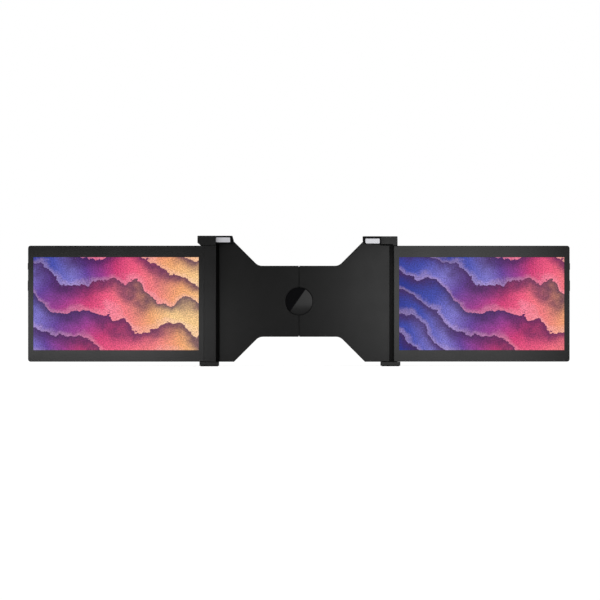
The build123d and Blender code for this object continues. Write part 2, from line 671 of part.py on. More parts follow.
def hinge_bar():
    """The thick bar beside the left screen, turning with it between the arm and the foot."""
    bar = block(BAR_IN, SCREEN_INNER, LEFT_FRONT, LEFT_FRONT + SCREEN_T, SCREEN_Z, SCREEN_TOP)
    inner_edges = bar.edges().filter_by(Axis.Z).sort_by(Axis.X)[:2]
    bar = chamfer(inner_edges, BAR_CHAMFER)
    bar -= pin_holes(LEFT)
    for z in bar_screw_heights():
        bar -= bar_screw_solid(z, PUSH_FIT)
    return bar


# ---------------------------------------------------------------- screens, inner edge at X = 0
def to_screen(side, shape):
    """Move a piece from the screen's own corner to its place on this side."""
    return Pos(SCREEN_INNER, side.front, SCREEN_Z) * shape


def cover_screw_spots():
    columns = [COVER_SCREW_INSET, SCREEN_W / 2, SCREEN_W - COVER_SCREW_INSET]
    band = SCREEN_WALL + COVER_BOSS_R + 1.0
    return [(x, z) for z in (band, SCREEN_H - band) for x in columns]


def cover_seat():
    return SCREEN_T - COVER_HEAD_T


def cover_hole(x, z):
    return screw_hole(x, z, cover_seat(), SCREEN_T, COVER_SCREW_R, COVER_SCREW_L, COVER_HEAD_R)


def socket_places():
    """Centre height and width of each socket in the outer edge."""
    return [(TYPE_C_LOW_Z, TYPE_C_W), (TYPE_C_HIGH_Z, TYPE_C_W), (VIDEO_Z, VIDEO_W)]


def electronics_y():
    """Middle depth of the sockets, buttons and board."""
    return (BACKLIGHT_BACK + BEZEL_T) / 2


def edge_opening(z, width, thickness, gap):
    """A hole through the outer side wall, open to the rear cover."""
    y0 = electronics_y() - thickness / 2 - gap
    return block(
        SCREEN_W - SCREEN_WALL - 1, SCREEN_W + 1, y0, BEZEL_T,
        z - width / 2 - gap, z + width / 2 + gap,
    )


def housing_outline():
    """The screen's outline: rounded at the free end, square beside the hinge."""
    sheet = Pos(SCREEN_W / 2, SCREEN_H / 2) * Rectangle(SCREEN_W, SCREEN_H)
    return fillet(sheet.vertices().sort_by(Axis.X)[-2:], SCREEN_CORNER_R)


def screen_bezel(side):
    """Front frame with its side walls, screw bosses and the openings in the outer edge."""
    outer = eased(slab(housing_outline(), 0, BEZEL_T), BEZEL_CHAMFER)
    inside = panel_outline(
        SCREEN_WALL, SCREEN_W - SCREEN_WALL, SCREEN_WALL, SCREEN_H - SCREEN_WALL,
        SCREEN_CORNER_R - SCREEN_WALL + 0.4,
    )
    frame = outer - slab(inside, BEZEL_LIP_T, BEZEL_T)
    frame -= block(BEZEL_SIDE, SCREEN_W - BEZEL_SIDE, 0, BEZEL_LIP_T, BEZEL_BAND, SCREEN_H - BEZEL_BAND)
    for x, z in cover_screw_spots():
        frame += rod_y(x, z, BEZEL_LIP_T, BEZEL_T, COVER_BOSS_R)
    if side.sign > 0:
        top_z = SCREEN_H - PANEL_Z + TURN_GAP
        wall = SCREEN_WALL
        frame += block(wall, PIN_BLOCK_W + wall, BEZEL_LIP_T, BEZEL_T, wall, PANEL_Z - TURN_GAP)
        frame += block(wall, PIN_BLOCK_W + wall, BEZEL_LIP_T, BEZEL_T, top_z, SCREEN_H - wall)
    for x, z in cover_screw_spots():
        frame -= cover_hole(x, z)
    for z, width in socket_places():
        frame -= edge_opening(z, width, SOCKET_T, SOCKET_GAP)
    frame -= edge_opening(POWER_Z, POWER_W, BUTTON_T, BUTTON_GAP)
    frame -= edge_opening(ROCKER_Z, ROCKER_W + 2 * ROCKER_END_GAP, BUTTON_T, BUTTON_GAP)
    placed = to_screen(side, frame)
    if side.sign > 0:
        return placed - pin_holes(side)
    for z in bar_screw_heights():
        placed -= bar_screw_solid(z, PUSH_FIT)
    return placed


def board_x():
    return SCREEN_W - BOARD_EDGE_GAP - BOARD_W


def rocker_axle_x():
    return SCREEN_W - ROCKER_AXLE_INSET


def power_flange_in():
    """Inner face of the power button's flange at rest."""
    return SCREEN_W - SCREEN_WALL - BUTTON_GAP - POWER_FLANGE_T


def board_boss_spots():
    x0 = board_x() + BOARD_BOSS_INSET
    x1 = board_x() + BOARD_W - 2.5 * BOARD_BOSS_INSET
    z0 = BOARD_Z + BOARD_BOSS_INSET
    z1 = BOARD_Z + BOARD_H - BOARD_BOSS_INSET
    return [(x, z) for x in (x0, x1) for z in (z0, z1)]


def board_back():
    return electronics_y() + BOARD_T / 2


def rear_cover(side):
    """Flat back shell with board bosses, the rocker's axle and rows of vent slots."""
    cover = slab(housing_outline(), BEZEL_T, SCREEN_T)
    cover = chamfer(cover.faces().sort_by(Axis.Y)[-1].edges(), BEZEL_CHAMFER)
    for x, z in cover_screw_spots():
        cover -= cover_hole(x, z)
    for x, z in board_boss_spots():
        cover += rod_y(x, z, board_back(), BEZEL_T, BOARD_BOSS_R)
    cover += rod_y(rocker_axle_x(), ROCKER_Z, BACKLIGHT_BACK + BUTTON_GAP, BEZEL_T, ROCKER_AXLE_R)
    first = SCREEN_W / 2 - VENT_PITCH * (VENT_COUNT - 1) / 2
    for i in range(VENT_COUNT):
        slot = SlotCenterToCenter(VENT_L, VENT_W, rotation=90)
        x = first + i * VENT_PITCH
        cover -= slab(Pos(x, SCREEN_H / 4) * slot, BEZEL_T, SCREEN_T)
    return to_screen(side, cover)


def lcd_panel(side):
    y0 = BEZEL_LIP_T
    plate = block(PANEL_X, PANEL_X + PANEL_W, y0, y0 + PANEL_T, PANEL_Z, PANEL_Z + PANEL_H)
    return to_screen(side, plate)


def backlight(side):
    y0 = BEZEL_LIP_T + PANEL_T
    pan = block(PANEL_X, PANEL_X + PANEL_W, y0, BACKLIGHT_BACK, PANEL_Z, PANEL_Z + PANEL_H)
    return to_screen(side, pan)


def control_board(side):
    """Circuit board: three chips and two key switches, notched for the sockets and keys."""
    y0 = electronics_y() - BOARD_T / 2
    x1 = board_x() + BOARD_W
    board = block(board_x(), x1, y0, board_back(), BOARD_Z, BOARD_Z + BOARD_H)
    for z, width in socket_places():
        edge = SCREEN_W - SOCKET_DEPTH - PUSH_FIT
        half = width / 2 + PUSH_FIT
        board -= block(edge, x1 + 1, y0, board_back(), z - half, z + half)
    notches = [
        (power_flange_in() - BUTTON_TRAVEL, POWER_Z, POWER_W / 2 + POWER_FLANGE_LAP),
        (rocker_axle_x() - ROCKER_EYE_R, ROCKER_Z, ROCKER_STEM_W / 2),
    ]
    for deepest, z, half in notches:
        x_notch = deepest - BOARD_NOTCH_GAP
        half += BOARD_NOTCH_GAP
        board -= block(x_notch, x1 + 1, y0, board_back(), z - half, z + half)
        board += block(
            x_notch - SWITCH_SIZE, x_notch, board_back(), board_back() + CHIP_T,
            z - SWITCH_SIZE / 2, z + SWITCH_SIZE / 2,
        )
    x_chip = board_x() + BOARD_W / 2 - CHIP_SIZE / 2
    for i in range(3):
        z_chip = BOARD_Z + BOARD_H / 2 + (i - 1) * CHIP_GAP_Z - CHIP_SIZE / 2
        board += block(
            x_chip, x_chip + CHIP_SIZE, board_back(), board_back() + CHIP_T,
            z_chip, z_chip + CHIP_SIZE,
        )
    return to_screen(side, board)


def port_sockets(side):
    """Open metal shells with a contact tongue, set in the board's notches."""
    made = []
    mid = electronics_y()
    x0 = SCREEN_W - SOCKET_DEPTH
    for z, width in socket_places():
        shell = block(x0, SCREEN_W, mid - SOCKET_T / 2, mid + SOCKET_T / 2, z - width / 2, z + width / 2)
        shell = fillet(shell.edges().filter_by(Axis.X), SOCKET_T * 0.3)
        inner_t = SOCKET_T - 2 * SOCKET_WALL
        inner_w = width - 2 * SOCKET_WALL
        cavity = block(
            x0 + SOCKET_WALL, SCREEN_W + 1, mid - inner_t / 2, mid + inner_t / 2,
            z - inner_w / 2, z + inner_w / 2,
        )
        cavity = fillet(cavity.edges().filter_by(Axis.X), inner_t * 0.3)
        tongue = block(
            x0, SCREEN_W - 1, mid - SOCKET_TONGUE_T / 2, mid + SOCKET_TONGUE_T / 2,
            z - inner_w / 3, z + inner_w / 3,
        )
        made.append(to_screen(side, shell - cavity + tongue))
    return made


def cover_screws(side):
    return [
        to_screen(side, screw(x, z, cover_seat(), COVER_SCREW_R, COVER_SCREW_L, COVER_HEAD_R, COVER_HEAD_T))
        for x, z in cover_screw_spots()
    ]


def power_button(side):
    """Push button: a cap through the edge and a flange that keeps it in."""
    mid = electronics_y()
    half_t = BUTTON_T / 2
    wall_in = SCREEN_W - SCREEN_WALL
    flange_out = wall_in - BUTTON_GAP
    cap = block(
        flange_out, SCREEN_W + BUTTON_PROUD, mid - half_t, mid + half_t,
        POWER_Z - POWER_W / 2, POWER_Z + POWER_W / 2,
    )
    half_w = POWER_W / 2 + POWER_FLANGE_LAP
    flange = block(
        flange_out - POWER_FLANGE_T, flange_out, mid - half_t, mid + half_t,
        POWER_Z - half_w, POWER_Z + half_w,
    )
    return to_screen(side, cap + flange)


def menu_rocker(side):
    """Two-way key that tilts on the small axle of the rear cover."""
    mid = electronics_y()
    half_t = BUTTON_T / 2
    axle_x = rocker_axle_x()
    cap_in = SCREEN_W - SCREEN_WALL + BUTTON_GAP
    cap = block(
        cap_in, SCREEN_W + BUTTON_PROUD, mid - half_t, mid + half_t,
        ROCKER_Z - ROCKER_W / 2, ROCKER_Z + ROCKER_W / 2,
    )
    stem = block(
        axle_x, cap_in, mid - half_t, mid + half_t,
        ROCKER_Z - ROCKER_STEM_W / 2, ROCKER_Z + ROCKER_STEM_W / 2,
    )
    eye = rod_y(axle_x, ROCKER_Z, mid - half_t, mid + half_t, ROCKER_EYE_R)
    hole = rod_y(axle_x, ROCKER_Z, mid - SCREEN_T, mid + SCREEN_T, ROCKER_AXLE_R + RUN_FIT)
    return to_screen(side, cap + stem + eye - hole)


# ---------------------------------------------------------------- lid clips
def clip_outline(side):
    """The clip's front lip: the left one widens downwards, the right one has a cut corner."""
    x0 = side.clip_in
    x1 = side.clip_in + CLIP_W
    top = side.arm_top
    if side.sign < 0:
        inner = [(x0 + CLIP_LEAN, top), (x0, top - CLIP_LEAN_H), (x0, CLIP_BOTTOM)]
    else:
        inner = [(x0, top), (x0, CLIP_BOTTOM + CLIP_SLANT), (x0 + CLIP_SLANT, CLIP_BOTTOM)]
    outline = make_face(Polyline(*inner, (x1, CLIP_BOTTOM), (x1, top), close=True))
    return fillet([v for v in outline.vertices() if v.X < x1 - 0.1], CLIP_CORNER_R)


def silver_outline(side, grow):
    """The badge plate's outline; on the right its lower inner corner is rounded more."""
    sheet = Rectangle(SILVER_W + 2 * grow, SILVER_H + 2 * grow, align=(Align.MIN, Align.MIN))
    corners = sheet.vertices().sort_by(lambda v: v.X + v.Y)
    sheet = fillet(corners[1:], SILVER_CORNER_R + grow)
    lower_inner = sheet.vertices().sort_by(lambda v: v.X + v.Y)[:1]
    sheet = fillet(lower_inner, side.silver_cut_r + grow)
    return Pos(side.silver_in - grow, side.silver_z - grow) * sheet


def clip_hook(side):
    """Hook over the lid: lip, bridge, stem plate, spring rod and flange."""
    xc = clip_centre(side)
    lip_back = CLIP_FRONT + CLIP_LIP_T
    outline = clip_outline(side)
    lip = slab(outline, CLIP_FRONT, lip_back)
    bridge = slab(outline, CLIP_FRONT, CLIP_BACK)
    bridge -= block(0, SCREEN_INNER, CLIP_FRONT - 1, CLIP_BACK + 1, CLIP_BOTTOM - 1, CLIP_UNDERSIDE)
    y0 = STEM_Y - STEM_T / 2
    y1 = STEM_Y + STEM_T / 2
    stem_low = WING_TOP - STEM_DROP
    stem = block(xc - STEM_W / 2, xc + STEM_W / 2, y0, y1, stem_low, CLIP_UNDERSIDE)
    rod = rod_z(xc, STEM_Y, stem_low - ROD_L, stem_low, ROD_R)
    flange = rod_z(xc, STEM_Y, stem_low - ROD_L, stem_low - ROD_L + FLANGE_T, FLANGE_R)
    cap = lip + bridge
    front_edges = cap.faces().sort_by(Axis.Y)[0].edges()
    beside_arm = side.clip_in + CLIP_W - 0.1
    cap = chamfer([e for e in front_edges if e.center().X < beside_arm], POST_EDGE_CHAMFER)
    hook = cap + stem + rod + flange
    return hook - slab(silver_outline(side, PUSH_FIT), CLIP_FRONT - 1, CLIP_FRONT + SILVER_SUNK)


def clip_plate(side):
    """Bare silver badge plate, sunk in the clip's front."""
    back = CLIP_FRONT + SILVER_SUNK
    return slab(silver_outline(side, 0), back - SILVER_T, back)


def clip_pad(side):
    y0 = CLIP_FRONT + CLIP_LIP_T
    x0 = side.clip_in + CLIP_SLANT + CLIP_PAD_INSET
    x1 = side.clip_in + CLIP_W - CLIP_PAD_INSET
    z1 = CLIP_UNDERSIDE - CLIP_PAD_INSET
    return block(x0, x1, y0, y0 + CLIP_PAD_T, CLIP_BOTTOM + CLIP_PAD_INSET / 2, z1)


def clip_spring(side):
    """Compression spring between the rod's flange and the underside of the shelf."""
    low = WING_TOP - STEM_DROP - ROD_L + FLANGE_T + SPRING_WIRE_R
    high = SHELF_TOP - SHELF_T - SPRING_WIRE_R
    height = high - low
    path = Helix(pitch=height / SPRING_TURNS, height=height, radius=SPRING_R)
    start = Plane(origin=path @ 0, z_dir=path % 0)
    wire = sweep(start * Circle(SPRING_WIRE_R), path=path, is_frenet=True)
    return Pos(clip_centre(side), STEM_Y, low) * wire


# ---------------------------------------------------------------- sliding middle
def carrier_outline():
    return panel_outline(-CARRIER_HALF_W, CARRIER_HALF_W, CARRIER_LOW, CARRIER_HIGH, CARRIER_CORNER_R)


def carrier_screw_places():
    x = CARRIER_HALF_W - CARRIER_SCREW_INSET
    low = CARRIER_LOW + CARRIER_SCREW_INSET
    high = CARRIER_HIGH - CARRIER_SCREW_INSET
    return [(s * x, z) for s in (-1, 1) for z in (low, CENTRE_Z, high)]


def carrier_screw_seat():
    return CARRIER_REAR - WING_HEAD_T


def carrier_holes():
    return [
        screw_hole(x, z, carrier_screw_seat(), CARRIER_REAR, WING_SCREW_R, CARRIER_DEPTH, WING_HEAD_R)
        for x, z in carrier_screw_places()
    ]


def slide_bar_edges(side):
    """Lowest and highest Z of a side's rack body and of its guide bar."""
    rack = rack_centre_z(side)
    guide = guide_centre_z(side)
    return [(rack - RACK_BODY / 2, rack + RACK_BODY / 2), (guide - GUIDE_W / 2, guide + GUIDE_W / 2)]


def carrier_plate():
    """Front half of the sliding middle: tray, bar guides and screw bosses."""
    tray = slab(carrier_outline(), CARRIER_FRONT, CARRIER_BACK)
    tray -= slab(offset(carrier_outline(), -CARRIER_RIM), CARRIER_FLOOR, CARRIER_BACK)
    for x, z in carrier_screw_places():
        tray += rod_y(x, z, CARRIER_FLOOR, CARRIER_BACK, WING_BOSS_R)
    rib_x = CARRIER_HALF_W - 2 * CARRIER_SCREW_INSET
    for side in (LEFT, RIGHT):
        rack, guide = slide_bar_edges(side)
        rack_back = rack[1] + SLIDE_GAP if side.sign < 0 else rack[0] - SLIDE_GAP - RIB_T
        for z in (rack_back, guide[0] - SLIDE_GAP - RIB_T, guide[1] + SLIDE_GAP):
            tray += block(-rib_x, rib_x, CARRIER_FLOOR, CARRIER_BACK, z, z + RIB_T)
        for low, high in (rack, guide):
            end = side.sign * CARRIER_HALF_W
            tray -= block(
                min(end, 0.9 * end) - 1, max(end, 0.9 * end) + 1, CARRIER_FLOOR, CARRIER_BACK,
                low - SLIDE_GAP, high + SLIDE_GAP,
            )
    for hole in carrier_holes():
        tray -= hole
    return tray - rod_y(0, CENTRE_Z, CARRIER_FRONT, CARRIER_BACK, AXLE_R + PUSH_FIT)


def carrier_back_cover():
    plate = slab(carrier_outline(), CARRIER_BACK, CARRIER_REAR)
    plate = chamfer(plate.faces().sort_by(Axis.Y)[-1].edges(), CARRIER_CHAMFER)
    for hole in carrier_holes():
        plate -= hole
    return plate - rod_y(0, CENTRE_Z, CARRIER_BACK, CARRIER_REAR, AXLE_R + PUSH_FIT)


def carrier_screws():
    return [
        screw(x, z, carrier_screw_seat(), WING_SCREW_R, CARRIER_DEPTH, WING_HEAD_R, WING_HEAD_T)
        for x, z in carrier_screw_places()
    ]


def pinion_axle():
    """Plain axle from the disc's hub, through the pinion, to the back cover."""
    return rod_y(0, CENTRE_Z, CARRIER_FRONT - AXLE_HOLD, CARRIER_REAR, AXLE_R)


def centre_disc():
    """Cap on the seam with a shallow diagonal ridge, on a hub that meets the carrier."""
    front = -DISC_PROUD
    cap = rod_y(0, CENTRE_Z, front, front + DISC_RIM_T, DISC_R)
    cap += rod_y(0, CENTRE_Z, front + DISC_RIM_T, CARRIER_FRONT, DISC_HUB_R)
    tall = 4 * DISC_R
    for half in (-1, 1):
        # each half's wedge turns about the ridge line, in front of the cap
        wedge = Pos(half * tall / 2, -tall / 2, 0) * Box(tall, tall, tall)
        wedge = Rot(0, 0, half * DISC_FACET) * wedge
        ridge = Pos(-DISC_RIDGE_OFFSET, 0, 0) * wedge
        cap -= Pos(0, front, CENTRE_Z) * Rot(0, 90 - DISC_RIDGE_ANGLE, 0) * ridge
    return cap - rod_y(0, CENTRE_Z, CARRIER_FRONT - AXLE_HOLD, CARRIER_FRONT, AXLE_R + PUSH_FIT)


def involute(angle):
    return tan(angle) - angle


def drive_pinion():
    """Spur gear with involute teeth, one of them pointing straight up."""
    base_r = GEAR_R * cos(radians(PRESSURE_ANGLE))
    tip_r = GEAR_R + GEAR_MODULE
    root_r = GEAR_R - 1.25 * GEAR_MODULE
    half_pitch_angle = (RACK_PITCH / 2 - BACKLASH) / 2 / GEAR_R
    steps = 5
    radii = [base_r + (tip_r - base_r) * i / steps for i in range(steps + 1)]
    flank = []
    for r in radii:
        roll = acos(base_r / r)
        flank.append((r, half_pitch_angle + involute(radians(PRESSURE_ANGLE)) - involute(roll)))
    flank.insert(0, (root_r, flank[0][1]))
    points = []
    for tooth in range(GEAR_TEETH):
        middle = pi / 2 - 2 * pi * tooth / GEAR_TEETH
        for r, half in flank:
            points.append((r * cos(middle + half), r * sin(middle + half)))
        for r, half in reversed(flank):
            points.append((r * cos(middle - half), r * sin(middle - half)))
    wheel = Pos(0, CENTRE_Z) * make_face(Polyline(*points, close=True))
    gear = slab(wheel, SLIDE_FRONT, SLIDE_BACK)
    return gear - rod_y(0, CENTRE_Z, SLIDE_FRONT, SLIDE_BACK, AXLE_R + RUN_FIT)


def bar_foot(z):
    """The thick end of a rack or guide bar, screwed to the wing's back."""
    return block(
        BAR_FOOT_IN, BAR_FOOT_IN + BAR_FOOT_L, WING_T, SLIDE_BACK,
        z - BAR_FOOT_W / 2, z + BAR_FOOT_W / 2,
    )


def bar_foot_holes(side, z):
    holes = [
        screw_hole(x, zs, bar_screw_seat(), SLIDE_BACK, WING_SCREW_R, WING_SCREW_L, WING_HEAD_R)
        for x, zs in bar_foot_places(side)
        if abs(zs - z) < BAR_FOOT_W
    ]
    return holes[0] + holes[1]


def rack_bar(side):
    """Toothed bar from a wing to beyond the pinion; a gap stands over the middle at rest."""
    z = rack_centre_z(side)
    toward = side.sign  # teeth point down on the left rack and up on the right one
    edge = z + toward * RACK_BODY / 2
    bar = block(-RACK_REACH, BAR_FOOT_IN, SLIDE_FRONT, SLIDE_BACK, z - RACK_BODY / 2, z + RACK_BODY / 2)
    slope = tan(radians(PRESSURE_ANGLE))
    half_mid = (RACK_PITCH / 2 - BACKLASH) / 2
    half_root = half_mid + 1.25 * GEAR_MODULE * slope
    half_tip = half_mid - GEAR_MODULE * slope
    height = 2.25 * GEAR_MODULE * toward
    first = -int(RACK_REACH / RACK_PITCH)
    for i in range(first, 4):
        x = (i + 0.5) * RACK_PITCH
        tooth = make_face(Polyline(
            (x - half_root, edge), (x - half_tip, edge + height),
            (x + half_tip, edge + height), (x + half_root, edge), close=True,
        ))
        bar += slab(tooth, SLIDE_FRONT, SLIDE_BACK)
    return bar + bar_foot(z) - bar_foot_holes(side, z)


def guide_bar(side):
    z = guide_centre_z(side)
    bar = block(-RACK_REACH, BAR_FOOT_IN, SLIDE_FRONT, SLIDE_BACK, z - GUIDE_W / 2, z + GUIDE_W / 2)
    return bar + bar_foot(z) - bar_foot_holes(side, z)


# ---------------------------------------------------------------- kickstand
def kickstand_leg():
    """Flat leg, folded up against the carrier's back, with a window and two ears."""
    y0 = CARRIER_REAR + LEG_GAP
    tip = KICK_AXIS_Z + LEG_L - TIP_T
    leg = block(-LEG_HALF_W, LEG_HALF_W, y0, y0 + LEG_T, KICK_AXIS_Z, tip)
    leg = fillet(leg.edges().filter_by(Axis.Y).sort_by(Axis.Z)[-2:], KICK_BARREL_R)
    window_low = KICK_AXIS_Z + LEG_RIB
    window = panel_outline(
        -LEG_WINDOW_W / 2, LEG_WINDOW_W / 2, window_low, window_low + LEG_WINDOW_H, LEG_WINDOW_R,
    )
    leg -= slab(window, y0, y0 + LEG_T)
    barrel = rod_x(KICK_AXIS_Y, KICK_AXIS_Z, -LEG_HALF_W, LEG_HALF_W, KICK_BARREL_R)
    hole = rod_x(KICK_AXIS_Y, KICK_AXIS_Z, -LEG_HALF_W, LEG_HALF_W, KICK_PIN_R + PUSH_FIT)
    return leg + barrel - hole


def kickstand_tip():
    """Rubber strip on the leg's free end."""
    y0 = CARRIER_REAR + LEG_GAP
    tip = KICK_AXIS_Z + LEG_L
    reach = LEG_HALF_W - KICK_BARREL_R
    return block(-reach, reach, y0, y0 + LEG_T, tip - TIP_T, tip)


def bracket_in():
    return LEG_HALF_W + BRACKET_GAP


def kickstand_brackets():
    made = []
    hole = rod_x(KICK_AXIS_Y, KICK_AXIS_Z, -CARRIER_HALF_W, CARRIER_HALF_W, KICK_PIN_R + RUN_FIT)
    for s in (-1, 1):
        x0 = s * bracket_in()
        x1 = s * (bracket_in() + BRACKET_W)
        z0 = KICK_AXIS_Z - BRACKET_H / 2
        ear = block(min(x0, x1), max(x0, x1), CARRIER_REAR, BRACKET_BACK, z0, z0 + BRACKET_H)
        rear_edges = ear.edges().filter_by(Axis.X).sort_by(Axis.Y)[-2:]
        ear = chamfer(rear_edges, BRACKET_CHAMFER)
        made.append(ear - hole)
    return made


def kickstand_pin():
    """One long pin through the leg, turning in both brackets."""
    reach = bracket_in() + BRACKET_W
    return rod_x(KICK_AXIS_Y, KICK_AXIS_Z, -reach, reach, KICK_PIN_R)


# ---------------------------------------------------------------- write every node
def save_side(side):
    name = side.name
    screen = f"{name}_screen"
    pieces = {
        f"{name}_wing_shell": [wing_shell(side)],
        f"{name}_wing_back": [wing_back(side)],
        f"{name}_wing_screws": wing_screws(side),
        f"{name}_post": [post(side)],
        f"{name}_post_screws": post_screws(),
        f"{name}_foot_pad": [foot_pad(side)],
        f"{name}_hinge_bushes": hinge_bushes(side),
        f"{name}_hinge_pins": hinge_pins(side),
        f"{name}_rack_bar": [rack_bar(side)],
        f"{name}_guide_bar": [guide_bar(side)],
        f"{name}_clip_hook": [clip_hook(side)],
        f"{name}_clip_plate": [clip_plate(side)],
        f"{name}_clip_pad": [clip_pad(side)],
        f"{name}_clip_spring": [clip_spring(side)],
        f"{screen}_bezel": [screen_bezel(side)],
        f"{screen}_rear_cover": [rear_cover(side)],
        f"{screen}_lcd_panel": [lcd_panel(side)],
        f"{screen}_backlight": [backlight(side)],
        f"{screen}_control_board": [control_board(side)],
        f"{screen}_port_sockets": port_sockets(side),
        f"{screen}_cover_screws": cover_screws(side),
        f"{screen}_power_button": [power_button(side)],
        f"{screen}_menu_rocker": [menu_rocker(side)],
    }
    for node, solids in pieces.items():
        save(node, *[side.hand(s) for s in solids])


for half in (LEFT, RIGHT):
    save_side(half)

save("left_screen_hinge_bar", LEFT.hand(hinge_bar()))
save("left_screen_bar_screws", *[LEFT.hand(bar_screw_solid(z, 0)) for z in bar_screw_heights()])
save("carrier_plate", carrier_plate())
save("carrier_back_cover", carrier_back_cover())
save("carrier_screws", *carrier_screws())
save("centre_disc", centre_disc())
save("pinion_axle", pinion_axle())
save("drive_pinion", drive_pinion())
save("kickstand_leg", kickstand_leg())
save("kickstand_tip", kickstand_tip())
save("kickstand_pin", kickstand_pin())
save("kickstand_brackets", *kickstand_brackets())
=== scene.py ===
import math

import bpy
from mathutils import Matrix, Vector


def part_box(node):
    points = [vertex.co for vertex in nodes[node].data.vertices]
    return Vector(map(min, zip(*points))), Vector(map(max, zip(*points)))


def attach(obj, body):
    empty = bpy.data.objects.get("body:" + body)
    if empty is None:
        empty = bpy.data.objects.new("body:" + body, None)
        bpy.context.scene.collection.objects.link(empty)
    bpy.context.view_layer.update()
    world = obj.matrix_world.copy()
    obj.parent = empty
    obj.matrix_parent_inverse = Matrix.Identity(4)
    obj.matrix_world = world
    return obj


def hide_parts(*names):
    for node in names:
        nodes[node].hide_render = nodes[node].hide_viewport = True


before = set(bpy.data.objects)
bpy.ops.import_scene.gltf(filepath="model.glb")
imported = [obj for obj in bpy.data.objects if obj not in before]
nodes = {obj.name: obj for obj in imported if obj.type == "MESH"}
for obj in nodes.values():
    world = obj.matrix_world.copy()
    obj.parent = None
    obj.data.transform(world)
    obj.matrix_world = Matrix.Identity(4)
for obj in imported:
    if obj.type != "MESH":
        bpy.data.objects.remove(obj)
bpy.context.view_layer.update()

# Camera: level with the middle of the plate and far off on a long lens, so that the screens
# are seen square on with almost no perspective.
frame_width = 0.9318
lens_mm, sensor_mm = 400.0, 36.0
camera_x, camera_z = 0.00155, 0.1030
front_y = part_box("right_screen_bezel")[0].y
camera_away = frame_width * lens_mm / sensor_mm
camera_data = bpy.data.cameras.new("camera")
camera_data.lens = lens_mm
camera_data.sensor_width = sensor_mm
camera_data.clip_end = 60.0
camera = bpy.data.objects.new("camera", camera_data)
bpy.context.scene.collection.objects.link(camera)
camera.location = (camera_x, front_y - camera_away, camera_z)
camera.rotation_euler = (math.radians(90.0), 0.0, 0.0)
bpy.context.scene.camera = camera


# Studio: a plain white floor and surround, a soft lamp at each side, and low soft panels in
# front of the right half and of the left screen, which give the matte black its slow gradient.
def linear(hex_colour, alpha=1.0):
    """An sRGB hex colour as the linear values that Blender works with."""
    parts = [int(hex_colour[i : i + 2], 16) / 255 for i in (1, 3, 5)]
    return [p / 12.92 if p <= 0.04045 else ((p + 0.055) / 1.055) ** 2.4 for p in parts] + [alpha]


def add_node(tree, kind, settings=None, links=None):
    """Add a node; settings are its properties or socket values, links feed its sockets."""
    node = tree.nodes.new(kind)
    for key, value in (settings or {}).items():
        if isinstance(key, str) and hasattr(node, key):
            setattr(node, key, value)
        else:
            node.inputs[key].default_value = value
    for key, source in (links or {}).items():
        tree.links.new(source, node.inputs[key])
    return node


ambient_strength = 0.60  # how brightly the surround lights matt surfaces
front_gloss = 0.05       # how bright the room in front looks in a reflection
world = bpy.data.worlds.new("white_surround")
bpy.context.scene.world = world
world.use_nodes = True
tree = world.node_tree
tree.nodes.clear()
path = add_node(tree, "ShaderNodeLightPath").outputs
direction = add_node(tree, "ShaderNodeTexCoord").outputs["Generated"]
backwards = add_node(tree, "ShaderNodeSeparateXYZ", links={0: direction}).outputs["Y"]
mirror_level = add_node(
    tree, "ShaderNodeMapRange",
    {"From Min": 0.45, "From Max": 0.85, "To Min": front_gloss, "To Max": 1.0},
    {"Value": backwards},
).outputs[0]
lit_level = add_node(
    tree, "ShaderNodeMix", {"data_type": "FLOAT", 2: ambient_strength},
    {0: path["Is Glossy Ray"], 3: mirror_level},
).outputs[0]
eye_level = add_node(
    tree, "ShaderNodeMath", {"operation": "MAXIMUM"},
    {0: path["Is Camera Ray"], 1: path["Is Transmission Ray"]},
).outputs[0]
world_level = add_node(
    tree, "ShaderNodeMix", {"data_type": "FLOAT", 3: 1.0}, {0: eye_level, 2: lit_level},
).outputs[0]
background = add_node(
    tree, "ShaderNodeBackground", {"Color": linear("#ffffff")}, {"Strength": world_level},
).outputs[0]
add_node(tree, "ShaderNodeOutputWorld", links={"Surface": background})

# the floor is matt to the object and bright to the eye, and to reflections of its far part
floor_mesh = bpy.data.meshes.new("studio_floor")
reach = 20.0
floor_mesh.from_pydata(
    [(-reach, -reach, 0.0), (reach, -reach, 0.0), (reach, reach, 0.0), (-reach, reach, 0.0)],
    [], [(0, 1, 2, 3)],
)
floor = bpy.data.objects.new("studio_floor", floor_mesh)
bpy.context.scene.collection.objects.link(floor)
floor_paint = bpy.data.materials.new("white_floor_paint")
floor_paint.use_nodes = True
tree = floor_paint.node_tree
tree.nodes.clear()
matte = add_node(tree, "ShaderNodeBsdfDiffuse", {"Color": linear("#868686")}).outputs[0]
shaded = add_node(tree, "ShaderNodeBsdfDiffuse", {"Color": linear("#b8b8b8")}).outputs[0]
glow = add_node(
    tree, "ShaderNodeEmission", {"Color": linear("#ffffff"), "Strength": 0.74},
).outputs[0]
bright = add_node(tree, "ShaderNodeAddShader", links={0: shaded, 1: glow}).outputs[0]
path = add_node(tree, "ShaderNodeLightPath").outputs
floor_place = add_node(tree, "ShaderNodeTexCoord").outputs["Object"]
floor_y = add_node(tree, "ShaderNodeSeparateXYZ", links={0: floor_place}).outputs["Y"]
behind = add_node(
    tree, "ShaderNodeMapRange", {"From Min": 0.02, "From Max": 0.40}, {"Value": floor_y},
).outputs[0]
mirrored = add_node(
    tree, "ShaderNodeMath", {"operation": "MULTIPLY"}, {0: path["Is Glossy Ray"], 1: behind},
).outputs[0]
eye = add_node(
    tree, "ShaderNodeMath", {"operation": "MAXIMUM"},
    {0: path["Is Camera Ray"], 1: path["Is Transmission Ray"]},
).outputs[0]
seen = add_node(
    tree, "ShaderNodeMath", {"operation": "MAXIMUM"}, {0: eye, 1: mirrored},
).outputs[0]
